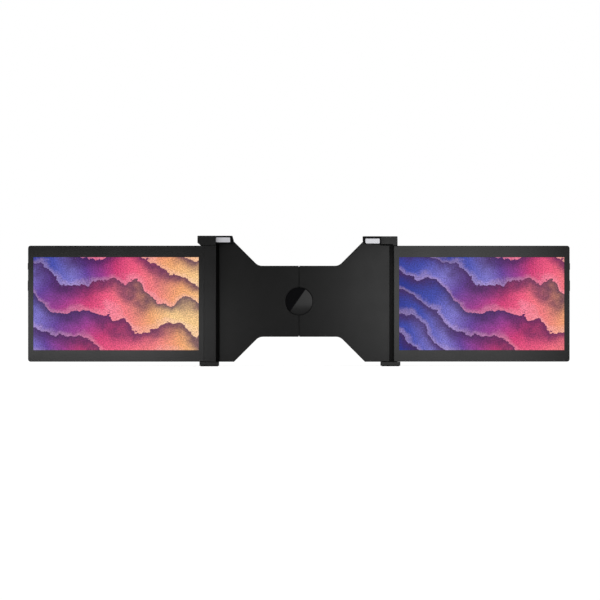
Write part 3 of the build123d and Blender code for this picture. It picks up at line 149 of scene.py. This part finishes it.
surface = add_node(
    tree, "ShaderNodeMixShader", links={0: seen, 1: matte, 2: bright},
).outputs[0]
add_node(tree, "ShaderNodeOutputMaterial", links={"Surface": surface})
floor_mesh.materials.append(floor_paint)

# name, place, aim, width and height in metres, power in watts
lamps = [
    ("lamp_right_side", (1.60, -1.10, 0.90), (0.0, 0.0, 0.10), 0.9, 0.9, 6.0),
    ("lamp_left_side", (-1.60, -1.10, 0.90), (0.0, 0.0, 0.10), 0.9, 0.9, 4.0),
    ("lamp_right_panel", (0.235, -0.25, 0.11), (0.235, 0.0, 0.11), 0.30, 0.21, 0.32),
    ("lamp_right_low_panel", (0.29, -0.25, 0.036), (0.29, 0.0, 0.036), 0.20, 0.065, 0.15),
    ("lamp_left_low_panel", (-0.33, -0.25, 0.065), (-0.33, 0.0, 0.065), 0.28, 0.12, 0.26),
    ("lamp_left_bar_panel", (-0.145, -0.25, 0.050), (-0.145, 0.0, 0.050), 0.09, 0.09, 0.026),
]
for name, place, aim, width, height, power in lamps:
    lamp_data = bpy.data.lights.new(name, "AREA")
    lamp_data.shape = "RECTANGLE"
    lamp_data.size, lamp_data.size_y = width, height
    lamp_data.energy = power
    lamp = bpy.data.objects.new(name, lamp_data)
    bpy.context.scene.collection.objects.link(lamp)
    lamp.location = place
    aim_line = Vector(aim) - Vector(place)
    lamp.rotation_euler = aim_line.to_track_quat("-Z", "Y").to_euler()

bpy.context.scene.view_settings.view_transform = "Standard"


# Back plate: two wings, each a front shell and a back cover injection moulded in black ABS.
# The mould is spark eroded, which leaves a fine even grain and a low, wide sheen.
def dress(material, *names):
    """Give a finish to CAD nodes by filling their material slots."""
    for name in names:
        for slot in nodes[name].material_slots:
            slot.material = material


def new_finish(name):
    """An empty material with its shader and output; returns the material and the tree."""
    material = bpy.data.materials.new(name)
    material.use_nodes = True
    tree = material.node_tree
    tree.nodes.clear()
    return material, tree


def object_place(tree, scale=(1.0, 1.0, 1.0)):
    """Object coordinates in metres, stretched by scale."""
    place = add_node(tree, "ShaderNodeTexCoord").outputs["Object"]
    return add_node(tree, "ShaderNodeMapping", {"Scale": scale}, {"Vector": place}).outputs[0]


def grained(tree, grain_mm, depth_mm, place, edge_mm=0.4):
    """The surface direction of an eroded or cast grain, with the moulding's edges softened."""
    edge = add_node(tree, "ShaderNodeBevel", {"samples": 4, "Radius": edge_mm / 1000})
    grain = add_node(
        tree, "ShaderNodeTexNoise", {"Scale": 1000.0 / grain_mm, "Detail": 3.0},
        {"Vector": place},
    ).outputs[0]
    return add_node(
        tree, "ShaderNodeBump", {"Strength": 0.35, "Distance": depth_mm / 1000},
        {"Height": grain, "Normal": edge.outputs[0]},
    ).outputs[0]


def varied(tree, place, size_mm, low, high):
    """A number that wanders slowly between low and high over the surface."""
    cloud = add_node(
        tree, "ShaderNodeTexNoise", {"Scale": 1000.0 / size_mm, "Detail": 4.0},
        {"Vector": place},
    ).outputs[0]
    return add_node(
        tree, "ShaderNodeMapRange",
        {"From Min": 0.3, "From Max": 0.7, "To Min": low, "To Max": high},
        {"Value": cloud},
    ).outputs[0]


def two_tone(tree, place, size_mm, dark_hex, light_hex):
    """A colour that wanders slowly between two tones over the surface."""
    return add_node(
        tree, "ShaderNodeMix",
        {"data_type": "RGBA", 6: linear(dark_hex), 7: linear(light_hex)},
        {0: varied(tree, place, size_mm, 0.0, 1.0)},
    ).outputs[2]


# the real grain is about 0.15 mm; drawn at 0.5 mm, because finer doesn't show
plate_abs, tree = new_finish("moulded_black_abs")
place = object_place(tree)
plate_shader = add_node(
    tree, "ShaderNodeBsdfPrincipled",
    {"IOR": 1.5, "Specular IOR Level": 0.42},
    {
        "Base Color": two_tone(tree, place, 40.0, "#121212", "#151515"),
        "Roughness": varied(tree, place, 25.0, 0.40, 0.47),
        "Normal": grained(tree, 0.5, 0.02, place, 0.5),
    },
).outputs[0]
add_node(tree, "ShaderNodeOutputMaterial", links={"Surface": plate_shader})
dress(
    plate_abs,
    "left_wing_shell", "left_wing_back", "right_wing_shell", "right_wing_back",
    "carrier_plate", "carrier_back_cover",
)

# Screen housings: bezel and rear cover moulded in the same ABS with a finer grain, so the
# bezel has a little more sheen than the plate beside it.
screen_abs, tree = new_finish("fine_grain_black_abs")
place = object_place(tree)
screen_shader = add_node(
    tree, "ShaderNodeBsdfPrincipled",
    {"IOR": 1.5, "Specular IOR Level": 0.5},
    {
        "Base Color": two_tone(tree, place, 60.0, "#161616", "#191919"),
        "Roughness": varied(tree, place, 30.0, 0.36, 0.43),
        "Normal": grained(tree, 0.4, 0.012, place, 0.6),
    },
).outputs[0]
add_node(tree, "ShaderNodeOutputMaterial", links={"Surface": screen_shader})
dress(
    screen_abs,
    "left_screen_bezel", "left_screen_rear_cover", "right_screen_bezel",
    "right_screen_rear_cover", "left_screen_power_button", "right_screen_power_button",
    "left_screen_menu_rocker", "right_screen_menu_rocker",
)

# Displays: 11.6 inch panels behind an anti-glare film, lit from behind and showing one wide
# wallpaper of silk folds, of which the right screen shows a part further to the left.
picture_width = 0.2563
picture_low = 0.0252
left_picture_start, right_picture_start = -0.41195, 0.15565
right_picture_shift = 0.30  # in widths of the picture
fold_count = 6.5
lean_across, lean_up = 0.40, 0.90
crease_mm, crease_height = 30.0, 0.16
weave_mm = 2.0
# the hue runs from the blue end of the colours on the left to the yellow end on the right
hue_span, hue_start, hue_fall = 1.30, 0.2756, 0.16
# each wave that bends the folds: height, turns across, turns up, start
fold_waves = [(0.085, 0.62, 0.30, 0.6), (0.035, 1.7, -1.1, 2.1), (0.012, 4.1, 2.3, 1.0)]
silk_colours = [
    (0.00, "#1c2a88"), (0.14, "#3a46a6"), (0.25, "#7a72c6"), (0.34, "#623c96"),
    (0.44, "#963488"), (0.53, "#cc3872"), (0.63, "#ee5a7e"), (0.74, "#ee7e7e"),
    (0.86, "#eea470"), (1.00, "#f4c88c"),
]


def maths(tree, operation, first, second=None, third=None):
    """One arithmetic step; each operand is a number or another step's output."""
    settings, links = {"operation": operation}, {}
    for index, operand in enumerate((first, second, third)):
        if operand is None:
            continue
        (settings if isinstance(operand, (int, float)) else links)[index] = operand
    return add_node(tree, "ShaderNodeMath", settings, links).outputs[0]


def silk_picture(name, picture_left, shift):
    """The lit panel: overlapping folds of silk, drawn in widths of the picture."""
    material, tree = new_finish(name)
    place = add_node(tree, "ShaderNodeTexCoord").outputs["Object"]
    axes = add_node(tree, "ShaderNodeSeparateXYZ", links={0: place}).outputs
    across = maths(tree, "MULTIPLY_ADD", axes["X"], 1 / picture_width,
                   -picture_left / picture_width - shift)
    up = maths(tree, "MULTIPLY_ADD", axes["Z"], 1 / picture_width, -picture_low / picture_width)
    slant = maths(tree, "MULTIPLY_ADD", across, lean_across, maths(tree, "MULTIPLY", up, lean_up))
    for height, turns_across, turns_up, start in fold_waves:
        phase = maths(tree, "MULTIPLY_ADD", across, math.tau * turns_across,
                      maths(tree, "MULTIPLY_ADD", up, math.tau * turns_up, start))
        slant = maths(tree, "MULTIPLY_ADD", maths(tree, "SINE", phase), height, slant)
    # creases bend the folds' edges, and the weave mottles the colours
    spot = add_node(tree, "ShaderNodeCombineXYZ", links={0: across, 1: up}).outputs[0]
    creases = add_node(
        tree, "ShaderNodeTexNoise",
        {"Scale": 1000.0 * picture_width / crease_mm, "Detail": 5.0, "Roughness": 0.6},
        {"Vector": spot},
    ).outputs[0]
    slant = maths(tree, "MULTIPLY_ADD", creases, crease_height, slant)
    weave = add_node(
        tree, "ShaderNodeTexNoise",
        {"Scale": 1000.0 * picture_width / weave_mm, "Detail": 2.0, "Roughness": 0.8},
        {"Vector": spot},
    ).outputs[0]
    mottle = add_node(
        tree, "ShaderNodeMapRange",
        {"From Min": 0.3, "From Max": 0.7, "To Min": 0.46, "To Max": 1.50},
        {"Value": weave},
    ).outputs[0]
    fold = maths(tree, "MULTIPLY_ADD", slant, fold_count, 3.0)
    part = maths(tree, "FRACT", fold)
    number = maths(tree, "FLOOR", fold)
    hue = maths(tree, "MULTIPLY_ADD", across, 1 / hue_span, hue_start)
    hue = maths(tree, "MULTIPLY_ADD", up, -hue_fall, hue)
    # each fold has its own step in hue, and a slow drift runs over all of them
    step = maths(tree, "SINE", maths(tree, "MULTIPLY", number, 2.4))
    hue = maths(tree, "MULTIPLY_ADD", step, 0.10, hue)
    drift = maths(tree, "MULTIPLY_ADD", across, math.tau * 0.9,
                  maths(tree, "MULTIPLY", up, math.tau * 1.4))
    hue = maths(tree, "MULTIPLY_ADD", maths(tree, "SINE", drift), 0.05, hue)
    silk = add_node(tree, "ShaderNodeValToRGB", links={0: hue})
    stops = silk.color_ramp.elements
    while len(stops) < len(silk_colours):
        stops.new(0.5)
    for stop, (position, colour) in zip(stops, silk_colours):
        stop.position = position
        stop.color = linear(colour)
    hollow = add_node(
        tree, "ShaderNodeMapRange",
        {"interpolation_type": "SMOOTHSTEP", "From Min": 0.30, "From Max": 1.05,
         "To Min": 0.0, "To Max": 0.86},
        {"Value": part},
    ).outputs[0]
    crest = add_node(
        tree, "ShaderNodeMapRange",
        {"interpolation_type": "SMOOTHSTEP", "From Min": 0.28, "From Max": 0.0,
         "To Min": 0.0, "To Max": 0.20},
        {"Value": part},
    ).outputs[0]
    shaded_silk = add_node(
        tree, "ShaderNodeMix", {"data_type": "RGBA", 7: linear("#3a1450")},
        {0: hollow, 6: silk.outputs[0]},
    ).outputs[2]
    lit_silk = add_node(
        tree, "ShaderNodeMix", {"data_type": "RGBA", 7: linear("#ffd0dc")},
        {0: crest, 6: shaded_silk},
    ).outputs[2]
    woven_silk = add_node(
        tree, "ShaderNodeMix", {"data_type": "RGBA", "blend_type": "MULTIPLY", 0: 1.0},
        {6: lit_silk, 7: mottle},
    ).outputs[2]
    panel = add_node(
        tree, "ShaderNodeBsdfPrincipled",
        {"Base Color": linear("#08080a"), "Roughness": 0.45, "IOR": 1.5,
         "Specular IOR Level": 0.2, "Emission Strength": 1.0},
        {"Emission Color": woven_silk},
    ).outputs[0]
    add_node(tree, "ShaderNodeOutputMaterial", links={"Surface": panel})
    return material


dress(silk_picture("lit_display_left", left_picture_start, 0.0), "left_screen_lcd_panel")
dress(
    silk_picture("lit_display_right", right_picture_start, right_picture_shift),
    "right_screen_lcd_panel",
)

# Posts, hinge bar, kickstand: aluminium castings and bars with a black powder coat, which
# melts into a low orange peel with a soft sheen.
powder_coat, tree = new_finish("black_powder_coat")
place = object_place(tree)
# painted shade: the sheen is turned down on the spine's front, which shows only deep in the slots,
# so that the slots look shaded
spine_front_y, spine_band = 0.0074, 0.0008
depth = add_node(tree, "ShaderNodeSeparateXYZ", links={0: place}).outputs["Y"]
painted_shade_on_spine = add_node(
    tree, "ShaderNodeMath", {"operation": "COMPARE", 1: spine_front_y, 2: spine_band},
    {0: depth},
).outputs[0]
# painted shade: less sheen on the spine's front than on the rest of the coat
sheen_with_painted_shade = add_node(
    tree, "ShaderNodeMapRange", {"To Min": 0.45, "To Max": 0.13}, {"Value": painted_shade_on_spine},
).outputs[0]
powder_shader = add_node(
    tree, "ShaderNodeBsdfPrincipled",
    {"IOR": 1.5},
    {
        "Specular IOR Level": sheen_with_painted_shade,
        "Base Color": two_tone(tree, place, 30.0, "#141414", "#171717"),
        "Roughness": varied(tree, place, 18.0, 0.40, 0.48),
        "Normal": grained(tree, 1.2, 0.03, place, 0.6),
    },
).outputs[0]
add_node(tree, "ShaderNodeOutputMaterial", links={"Surface": powder_shader})
dress(
    powder_coat,
    "left_post", "right_post", "left_screen_hinge_bar", "kickstand_leg", "kickstand_brackets",
)

# Lid clips: aluminium hooks that ride on a spring, drawn a deeper and duller black than the posts,
# each with a small plate in satin silver lacquer in front.
deep_black, tree = new_finish("deeper_black_clip_aluminium")
place = object_place(tree)
deep_black_shader = add_node(
    tree, "ShaderNodeBsdfPrincipled",
    {"Specular IOR Level": 0.11},
    {
        "Base Color": two_tone(tree, place, 9.0, "#0b0b0c", "#0e0e0f"),
        "Roughness": varied(tree, place, 12.0, 0.46, 0.54),
        "Normal": grained(tree, 0.5, 0.01, place, 0.3),
    },
).outputs[0]
add_node(tree, "ShaderNodeOutputMaterial", links={"Surface": deep_black_shader})
dress(deep_black, "left_clip_hook", "right_clip_hook")

satin_badge, tree = new_finish("satin_silver_lacquer")
# lacquered over a face brushed along its length; the lines are drawn about 0.3 mm apart
place = object_place(tree, (0.06, 1.0, 1.0))
brush = add_node(
    tree, "ShaderNodeTexNoise", {"Scale": 1000.0 / 0.3, "Detail": 2.0}, {"Vector": place},
).outputs[0]
brush_bump = add_node(
    tree, "ShaderNodeBump", {"Strength": 0.3, "Distance": 0.00001}, {"Height": brush},
).outputs[0]
badge_shader = add_node(
    tree, "ShaderNodeBsdfPrincipled",
    {"Roughness": 0.42, "Specular IOR Level": 0.15},
    {
        "Base Color": two_tone(tree, place, 6.0, "#d8d8de", "#e4e4e8"),
        "Normal": brush_bump,
    },
).outputs[0]
add_node(tree, "ShaderNodeOutputMaterial", links={"Surface": badge_shader})
dress(satin_badge, "left_clip_plate", "right_clip_plate")

# Rubber: pads under both feet, behind the clips' lips and on the kickstand's tip, moulded in
# black silicone rubber with a dull, slightly dusty face.
rubber, tree = new_finish("black_silicone_rubber")
place = object_place(tree)
rubber_shader = add_node(
    tree, "ShaderNodeBsdfPrincipled",
    {"IOR": 1.45, "Specular IOR Level": 0.3},
    {
        "Base Color": two_tone(tree, place, 8.0, "#171717", "#1f1f1f"),
        "Roughness": varied(tree, place, 10.0, 0.72, 0.85),
        "Normal": grained(tree, 0.8, 0.03, place, 0.3),
    },
).outputs[0]
add_node(tree, "ShaderNodeOutputMaterial", links={"Surface": rubber_shader})
dress(
    rubber,
    "left_foot_pad", "right_foot_pad", "left_clip_pad", "right_clip_pad", "kickstand_tip",
)

# Centre disc: a cap over the pinion's axle, spun in aluminium. It is drawn in two tones split along
# a diagonal line: the upper left half glossy and near black, the lower right half a lighter satin
# with the lathe's fine rings.
disc_middle_x, disc_middle_z = 0.0, 0.101
ridge_turn = math.radians(55.0)
ridge_offset, ridge_blend = 0.0023, 0.0002
right_lean, rim_roll = 0.14, 8.0
disc_finish, tree = new_finish("two_tone_spun_cap")
place = add_node(tree, "ShaderNodeTexCoord").outputs["Object"]
axes = add_node(tree, "ShaderNodeSeparateXYZ", links={0: place}).outputs
disc_x = maths(tree, "SUBTRACT", axes["X"], disc_middle_x)
disc_z = maths(tree, "SUBTRACT", axes["Z"], disc_middle_z)
past_ridge = maths(tree, "MULTIPLY_ADD", disc_x, math.sin(ridge_turn),
                   maths(tree, "MULTIPLY", disc_z, -math.cos(ridge_turn)))
satin_side = add_node(
    tree, "ShaderNodeMapRange",
    {"From Min": -ridge_offset - ridge_blend, "From Max": -ridge_offset + ridge_blend},
    {"Value": past_ridge},
).outputs[0]
radius_squared = maths(
    tree, "MULTIPLY_ADD", disc_x, disc_x, maths(tree, "MULTIPLY", disc_z, disc_z),
)
radius_out = maths(tree, "SQRT", radius_squared)
# the lathe's feed is about 0.2 mm; drawn at 0.6 mm
rings = maths(tree, "SINE", maths(tree, "MULTIPLY", radius_out, math.tau / 0.0006))
# the satin half leans to the right and is rolled over towards its lower rim
below_middle = maths(tree, "MINIMUM", disc_z, 0.0)
rolled = maths(tree, "MULTIPLY", maths(tree, "MULTIPLY", below_middle, below_middle), -rim_roll)
crown = maths(tree, "MULTIPLY_ADD", disc_x, -right_lean, rolled)
crown_bump = add_node(
    tree, "ShaderNodeBump", {"Strength": 1.0, "Distance": 1.0}, {"Height": crown},
).outputs[0]
ring_bump = add_node(
    tree, "ShaderNodeBump", {"Strength": 0.12, "Distance": 0.00002},
    {"Height": rings, "Normal": crown_bump},
).outputs[0]
polished = add_node(
    tree, "ShaderNodeBsdfPrincipled",
    {"Base Color": linear("#0a0a0c"), "Roughness": 0.18, "IOR": 1.5, "Specular IOR Level": 0.3},
).outputs[0]
satin = add_node(
    tree, "ShaderNodeBsdfPrincipled",
    {"Roughness": 0.30, "IOR": 1.5, "Specular IOR Level": 0.3},
    {"Base Color": two_tone(tree, place, 20.0, "#1e1e1e", "#232323"), "Normal": ring_bump},
).outputs[0]
cap = add_node(tree, "ShaderNodeMixShader", links={0: satin_side, 1: polished, 2: satin}).outputs[0]
add_node(tree, "ShaderNodeOutputMaterial", links={"Surface": cap})
dress(disc_finish, "centre_disc")

# Bought-in metal: turned axle and pin, coiled springs and socket shells in bright zinc; the
# hinge pins have a black oxide finish, so that they don't glint in the gaps.
steel, tree = new_finish("zinc_plated_steel")
place = object_place(tree)
steel_shader = add_node(
    tree, "ShaderNodeBsdfPrincipled",
    {"Metallic": 1.0},
    {
        "Base Color": two_tone(tree, place, 4.0, "#b4b6b8", "#c6c8ca"),
        "Roughness": varied(tree, place, 3.0, 0.26, 0.38),
        "Normal": grained(tree, 0.6, 0.004, place, 0.15),
    },
).outputs[0]
add_node(tree, "ShaderNodeOutputMaterial", links={"Surface": steel_shader})
dress(
    steel,
    "pinion_axle", "kickstand_pin", "left_clip_spring", "right_clip_spring",
    "left_screen_port_sockets", "right_screen_port_sockets",
)

black_oxide, tree = new_finish("black_oxide_steel")
place = object_place(tree)
oxide_shader = add_node(
    tree, "ShaderNodeBsdfPrincipled",
    {"Metallic": 0.6, "IOR": 1.5},
    {
        "Base Color": two_tone(tree, place, 3.0, "#1c1c1e", "#262628"),
        "Roughness": varied(tree, place, 3.0, 0.38, 0.5),
        "Normal": grained(tree, 0.5, 0.004, place, 0.1),
    },
).outputs[0]
add_node(tree, "ShaderNodeOutputMaterial", links={"Surface": oxide_shader})
dress(black_oxide, "left_hinge_pins", "right_hinge_pins")

# Screws: pressed pan heads with a cross recess, black oxide on the screens and the posts and
# bright zinc on the plate's back. Each one sits where the model has its plain screw.
def screw_spots(name, axis):
    """Middle, head face, tip and head radius of each screw of a CAD node, along an axis."""
    flat = [i for i in range(3) if i != axis]
    groups = []
    for vertex in nodes[name].data.vertices:
        point = vertex.co
        for group in groups:
            if all(abs(point[i] - group[0][i]) < 0.006 for i in flat):
                group.append(point.copy())
                break
        else:
            groups.append([point.copy()])
    spots = []
    for group in groups:
        low = [min(p[i] for p in group) for i in range(3)]
        high = [max(p[i] for p in group) for i in range(3)]
        middle = [(a + b) / 2 for a, b in zip(low, high)]
        middle[axis] = high[axis]
        spots.append((middle, high[axis] - low[axis], (high[flat[0]] - low[flat[0]]) / 2))
    return spots


def screw_tree():
    """Cross-recess screws on points, heads up; sizes are inputs in metres."""
    group = bpy.data.node_groups.new("cross_recess_screws", "GeometryNodeTree")
    sockets = [("Points", "NodeSocketGeometry"), ("Head Radius", "NodeSocketFloat"),
               ("Head Height", "NodeSocketFloat"), ("Shank Radius", "NodeSocketFloat"),
               ("Length", "NodeSocketFloat"), ("Turn", "NodeSocketVector"),
               ("Finish", "NodeSocketMaterial")]
    for socket_name, kind in sockets:
        group.interface.new_socket(socket_name, in_out="INPUT", socket_type=kind)
    group.interface.new_socket("Screws", in_out="OUTPUT", socket_type="NodeSocketGeometry")
    given = add_node(group, "NodeGroupInput").outputs

    def times(value, factor):
        return add_node(group, "ShaderNodeMath", {"operation": "MULTIPLY", 1: factor},
                        {0: value}).outputs[0]

    def drop(mesh, depth):
        offset = add_node(group, "ShaderNodeCombineXYZ", links={2: depth}).outputs[0]
        return add_node(group, "GeometryNodeTransform",
                        links={"Geometry": mesh, "Translation": offset}).outputs[0]

    # shares of the head's height; the crown starts a little inside the rim, so that no two
    # faces lie on each other
    rim_share, crown_share = 0.55, 0.50
    rim_height = times(given["Head Height"], rim_share)
    crown_height = times(given["Head Height"], crown_share)
    rim = add_node(
        group, "GeometryNodeMeshCylinder", {"Vertices": 28},
        {"Radius": given["Head Radius"], "Depth": rim_height},
    ).outputs["Mesh"]
    rim = drop(rim, times(given["Head Height"], rim_share / 2 - 1.0))
    crown_part = add_node(
        group, "GeometryNodeMeshCone", {"Vertices": 28},
        {"Radius Bottom": times(given["Head Radius"], 0.97),
         "Radius Top": times(given["Head Radius"], 0.72), "Depth": crown_height},
    ).outputs["Mesh"]
    crown_part = drop(crown_part, times(given["Head Height"], -crown_share))
    # the cross is two crossing cuts, each about as deep below the top as it stands above it
    long_side = times(given["Head Radius"], 1.15)
    short_side = times(given["Head Radius"], 0.30)
    sides = [(long_side, short_side, 1.30), (short_side, long_side, 1.24)]
    slots = []
    for size_x, size_y, deep in sides:
        recess_deep = times(given["Head Height"], deep)
        size = add_node(
            group, "ShaderNodeCombineXYZ", links={0: size_x, 1: size_y, 2: recess_deep},
        ).outputs[0]
        slots.append(add_node(group, "GeometryNodeMeshCube", links={"Size": size}).outputs[0])
    plain_head = add_node(
        group, "GeometryNodeMeshBoolean", {"operation": "UNION", "solver": "EXACT"},
    )
    for piece in (rim, crown_part):
        group.links.new(piece, plain_head.inputs["Mesh 2"])
    head = add_node(
        group, "GeometryNodeMeshBoolean", {"operation": "DIFFERENCE", "solver": "EXACT"},
        {0: plain_head.outputs[0]},
    )
    for piece in slots:
        group.links.new(piece, head.inputs["Mesh 2"])
    shank_length = add_node(
        group, "ShaderNodeMath", {"operation": "SUBTRACT"},
        {0: given["Length"], 1: given["Head Height"]},
    ).outputs[0]
    shank = add_node(
        group, "GeometryNodeMeshCylinder", {"Vertices": 16},
        {"Radius": given["Shank Radius"], "Depth": shank_length},
    ).outputs["Mesh"]
    # the shank's middle lies halfway between the head's underside and the tip
    twice_as_deep = add_node(
        group, "ShaderNodeMath", {"operation": "ADD"},
        {0: given["Length"], 1: given["Head Height"]},
    ).outputs[0]
    shank = drop(shank, times(twice_as_deep, -0.5))
    whole = add_node(group, "GeometryNodeJoinGeometry")
    for piece in (head.outputs[0], shank):
        group.links.new(piece, whole.inputs[0])
    turn = add_node(
        group, "FunctionNodeEulerToRotation", links={"Euler": given["Turn"]},
    ).outputs[0]
    placed = add_node(
        group, "GeometryNodeInstanceOnPoints",
        links={"Points": given["Points"], "Instance": whole.outputs[0], "Rotation": turn},
    ).outputs[0]
    real = add_node(group, "GeometryNodeRealizeInstances", links={0: placed}).outputs[0]
    finished = add_node(
        group, "GeometryNodeSetMaterial", links={"Geometry": real, "Material": given["Finish"]},
    ).outputs[0]
    add_node(group, "NodeGroupOutput", links={0: finished})
    return group


cross_recess = screw_tree()
screw_inputs = {
    item.name: item.identifier for item in cross_recess.interface.items_tree
    if item.in_out == "INPUT"
}
facing_back = (math.radians(-90.0), 0.0, 0.0)
facing_right = (0.0, math.radians(90.0), 0.0)
# node, body, axis, head height, shank radius, turn, finish
screw_sets = [
    ("left_wing_screws", "left_wing", 1, 0.0010, 0.0010, facing_back, steel),
    ("right_wing_screws", "right_wing", 1, 0.0010, 0.0010, facing_back, steel),
    ("carrier_screws", "carrier", 1, 0.0010, 0.0010, facing_back, steel),
    ("left_post_screws", "left_wing", 1, 0.0010, 0.0010, facing_back, black_oxide),
    ("right_post_screws", "right_wing", 1, 0.0010, 0.0010, facing_back, black_oxide),
    ("left_screen_cover_screws", "left_screen", 1, 0.0009, 0.0009, facing_back, black_oxide),
    ("right_screen_cover_screws", "right_screen", 1, 0.0009, 0.0009, facing_back, black_oxide),
    ("left_screen_bar_screws", "left_screen", 0, 0.0020, 0.00125, facing_right, black_oxide),
]
for node_name, body, axis, head_height, shank_radius, turn, finish in screw_sets:
    spots = screw_spots(node_name, axis)
    points = bpy.data.meshes.new(node_name + "_points")
    points.from_pydata([spot[0] for spot in spots], [], [])
    maker = bpy.data.objects.new(node_name + "_maker", points)
    bpy.context.scene.collection.objects.link(maker)
    modifier = maker.modifiers.new("screws", "NODES")
    modifier.node_group = cross_recess
    values = {"Head Radius": spots[0][2], "Head Height": head_height,
              "Shank Radius": shank_radius, "Length": spots[0][1], "Turn": turn,
              "Finish": finish}
    for input_name, value in values.items():
        modifier[screw_inputs[input_name]] = value
    screws_mesh = bpy.data.meshes.new_from_object(
        maker.evaluated_get(bpy.context.evaluated_depsgraph_get())
    )
    bpy.data.objects.remove(maker)
    screws = bpy.data.objects.new("cross_recess_" + node_name, screws_mesh)
    bpy.context.scene.collection.objects.link(screws)
    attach(screws, body)
    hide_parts(node_name)

# Slide: stamped steel rack and guide bars with a drawn finish along their length, a moulded
# acetal pinion between the racks and sintered brass bushes at the hinges.
stamped_steel, tree = new_finish("stamped_steel_bar")
place = object_place(tree, (0.05, 1.0, 1.0))
draw_lines = add_node(
    tree, "ShaderNodeTexNoise", {"Scale": 1000.0 / 0.5, "Detail": 3.0}, {"Vector": place},
).outputs[0]
draw_bump = add_node(
    tree, "ShaderNodeBump", {"Strength": 0.3, "Distance": 0.00002}, {"Height": draw_lines},
).outputs[0]
bar_shader = add_node(
    tree, "ShaderNodeBsdfPrincipled",
    {"Metallic": 1.0},
    {
        "Base Color": two_tone(tree, place, 8.0, "#8c8e90", "#a4a6a8"),
        "Roughness": varied(tree, place, 6.0, 0.32, 0.48),
        "Normal": draw_bump,
    },
).outputs[0]
add_node(tree, "ShaderNodeOutputMaterial", links={"Surface": bar_shader})
dress(stamped_steel, "left_rack_bar", "right_rack_bar", "left_guide_bar", "right_guide_bar")

acetal, tree = new_finish("natural_acetal")
place = object_place(tree)
acetal_shader = add_node(
    tree, "ShaderNodeBsdfPrincipled",
    {"IOR": 1.48, "Subsurface Weight": 0.1, "Subsurface Scale": 0.002},
    {
        "Base Color": two_tone(tree, place, 6.0, "#dcdad2", "#e8e6de"),
        "Roughness": varied(tree, place, 5.0, 0.38, 0.5),
        "Normal": grained(tree, 1.0, 0.01, place, 0.15),
    },
).outputs[0]
add_node(tree, "ShaderNodeOutputMaterial", links={"Surface": acetal_shader})
dress(acetal, "drive_pinion")

brass, tree = new_finish("sintered_brass")
place = object_place(tree)
brass_shader = add_node(
    tree, "ShaderNodeBsdfPrincipled",
    {"Metallic": 1.0},
    {
        "Base Color": two_tone(tree, place, 3.0, "#b8924e", "#cba662"),
        "Roughness": varied(tree, place, 2.0, 0.35, 0.5),
        "Normal": grained(tree, 0.4, 0.01, place, 0.15),
    },
).outputs[0]
add_node(tree, "ShaderNodeOutputMaterial", links={"Surface": brass_shader})
dress(brass, "left_hinge_bushes", "right_hinge_bushes")

# Inside each screen: a light guide in a white pressed pan, and a control board of glass epoxy
# under green solder resist with copper tracks showing through.
light_guide, tree = new_finish("white_light_guide")
place = object_place(tree)
guide_shader = add_node(
    tree, "ShaderNodeBsdfPrincipled",
    {"IOR": 1.49},
    {
        "Base Color": two_tone(tree, place, 12.0, "#e2e2e0", "#f0f0ee"),
        "Roughness": varied(tree, place, 8.0, 0.3, 0.42),
        "Normal": grained(tree, 0.8, 0.006, place, 0.2),
    },
).outputs[0]
add_node(tree, "ShaderNodeOutputMaterial", links={"Surface": guide_shader})
dress(light_guide, "left_screen_backlight", "right_screen_backlight")

solder_resist, tree = new_finish("green_solder_resist")
place = object_place(tree)
# tracks run in steps about 2 mm apart
tracks = add_node(
    tree, "ShaderNodeTexVoronoi",
    {"distance": "CHEBYCHEV", "feature": "DISTANCE_TO_EDGE", "Scale": 1000.0 / 4.0},
    {"Vector": place},
).outputs["Distance"]
track_mask = add_node(
    tree, "ShaderNodeMapRange", {"From Min": 0.04, "From Max": 0.07, "To Min": 1.0, "To Max": 0.0},
    {"Value": tracks},
).outputs[0]
board_colour = add_node(
    tree, "ShaderNodeMix",
    {"data_type": "RGBA", 6: linear("#1c4a2c"), 7: linear("#3c7a4a")},
    {0: track_mask},
).outputs[2]
track_bump = add_node(
    tree, "ShaderNodeBump", {"Strength": 0.4, "Distance": 0.00003}, {"Height": track_mask},
).outputs[0]
board_shader = add_node(
    tree, "ShaderNodeBsdfPrincipled",
    {"IOR": 1.52, "Roughness": 0.3},
    {"Base Color": board_colour, "Normal": track_bump},
).outputs[0]
add_node(tree, "ShaderNodeOutputMaterial", links={"Surface": board_shader})
dress(solder_resist, "left_screen_control_board", "right_screen_control_board")
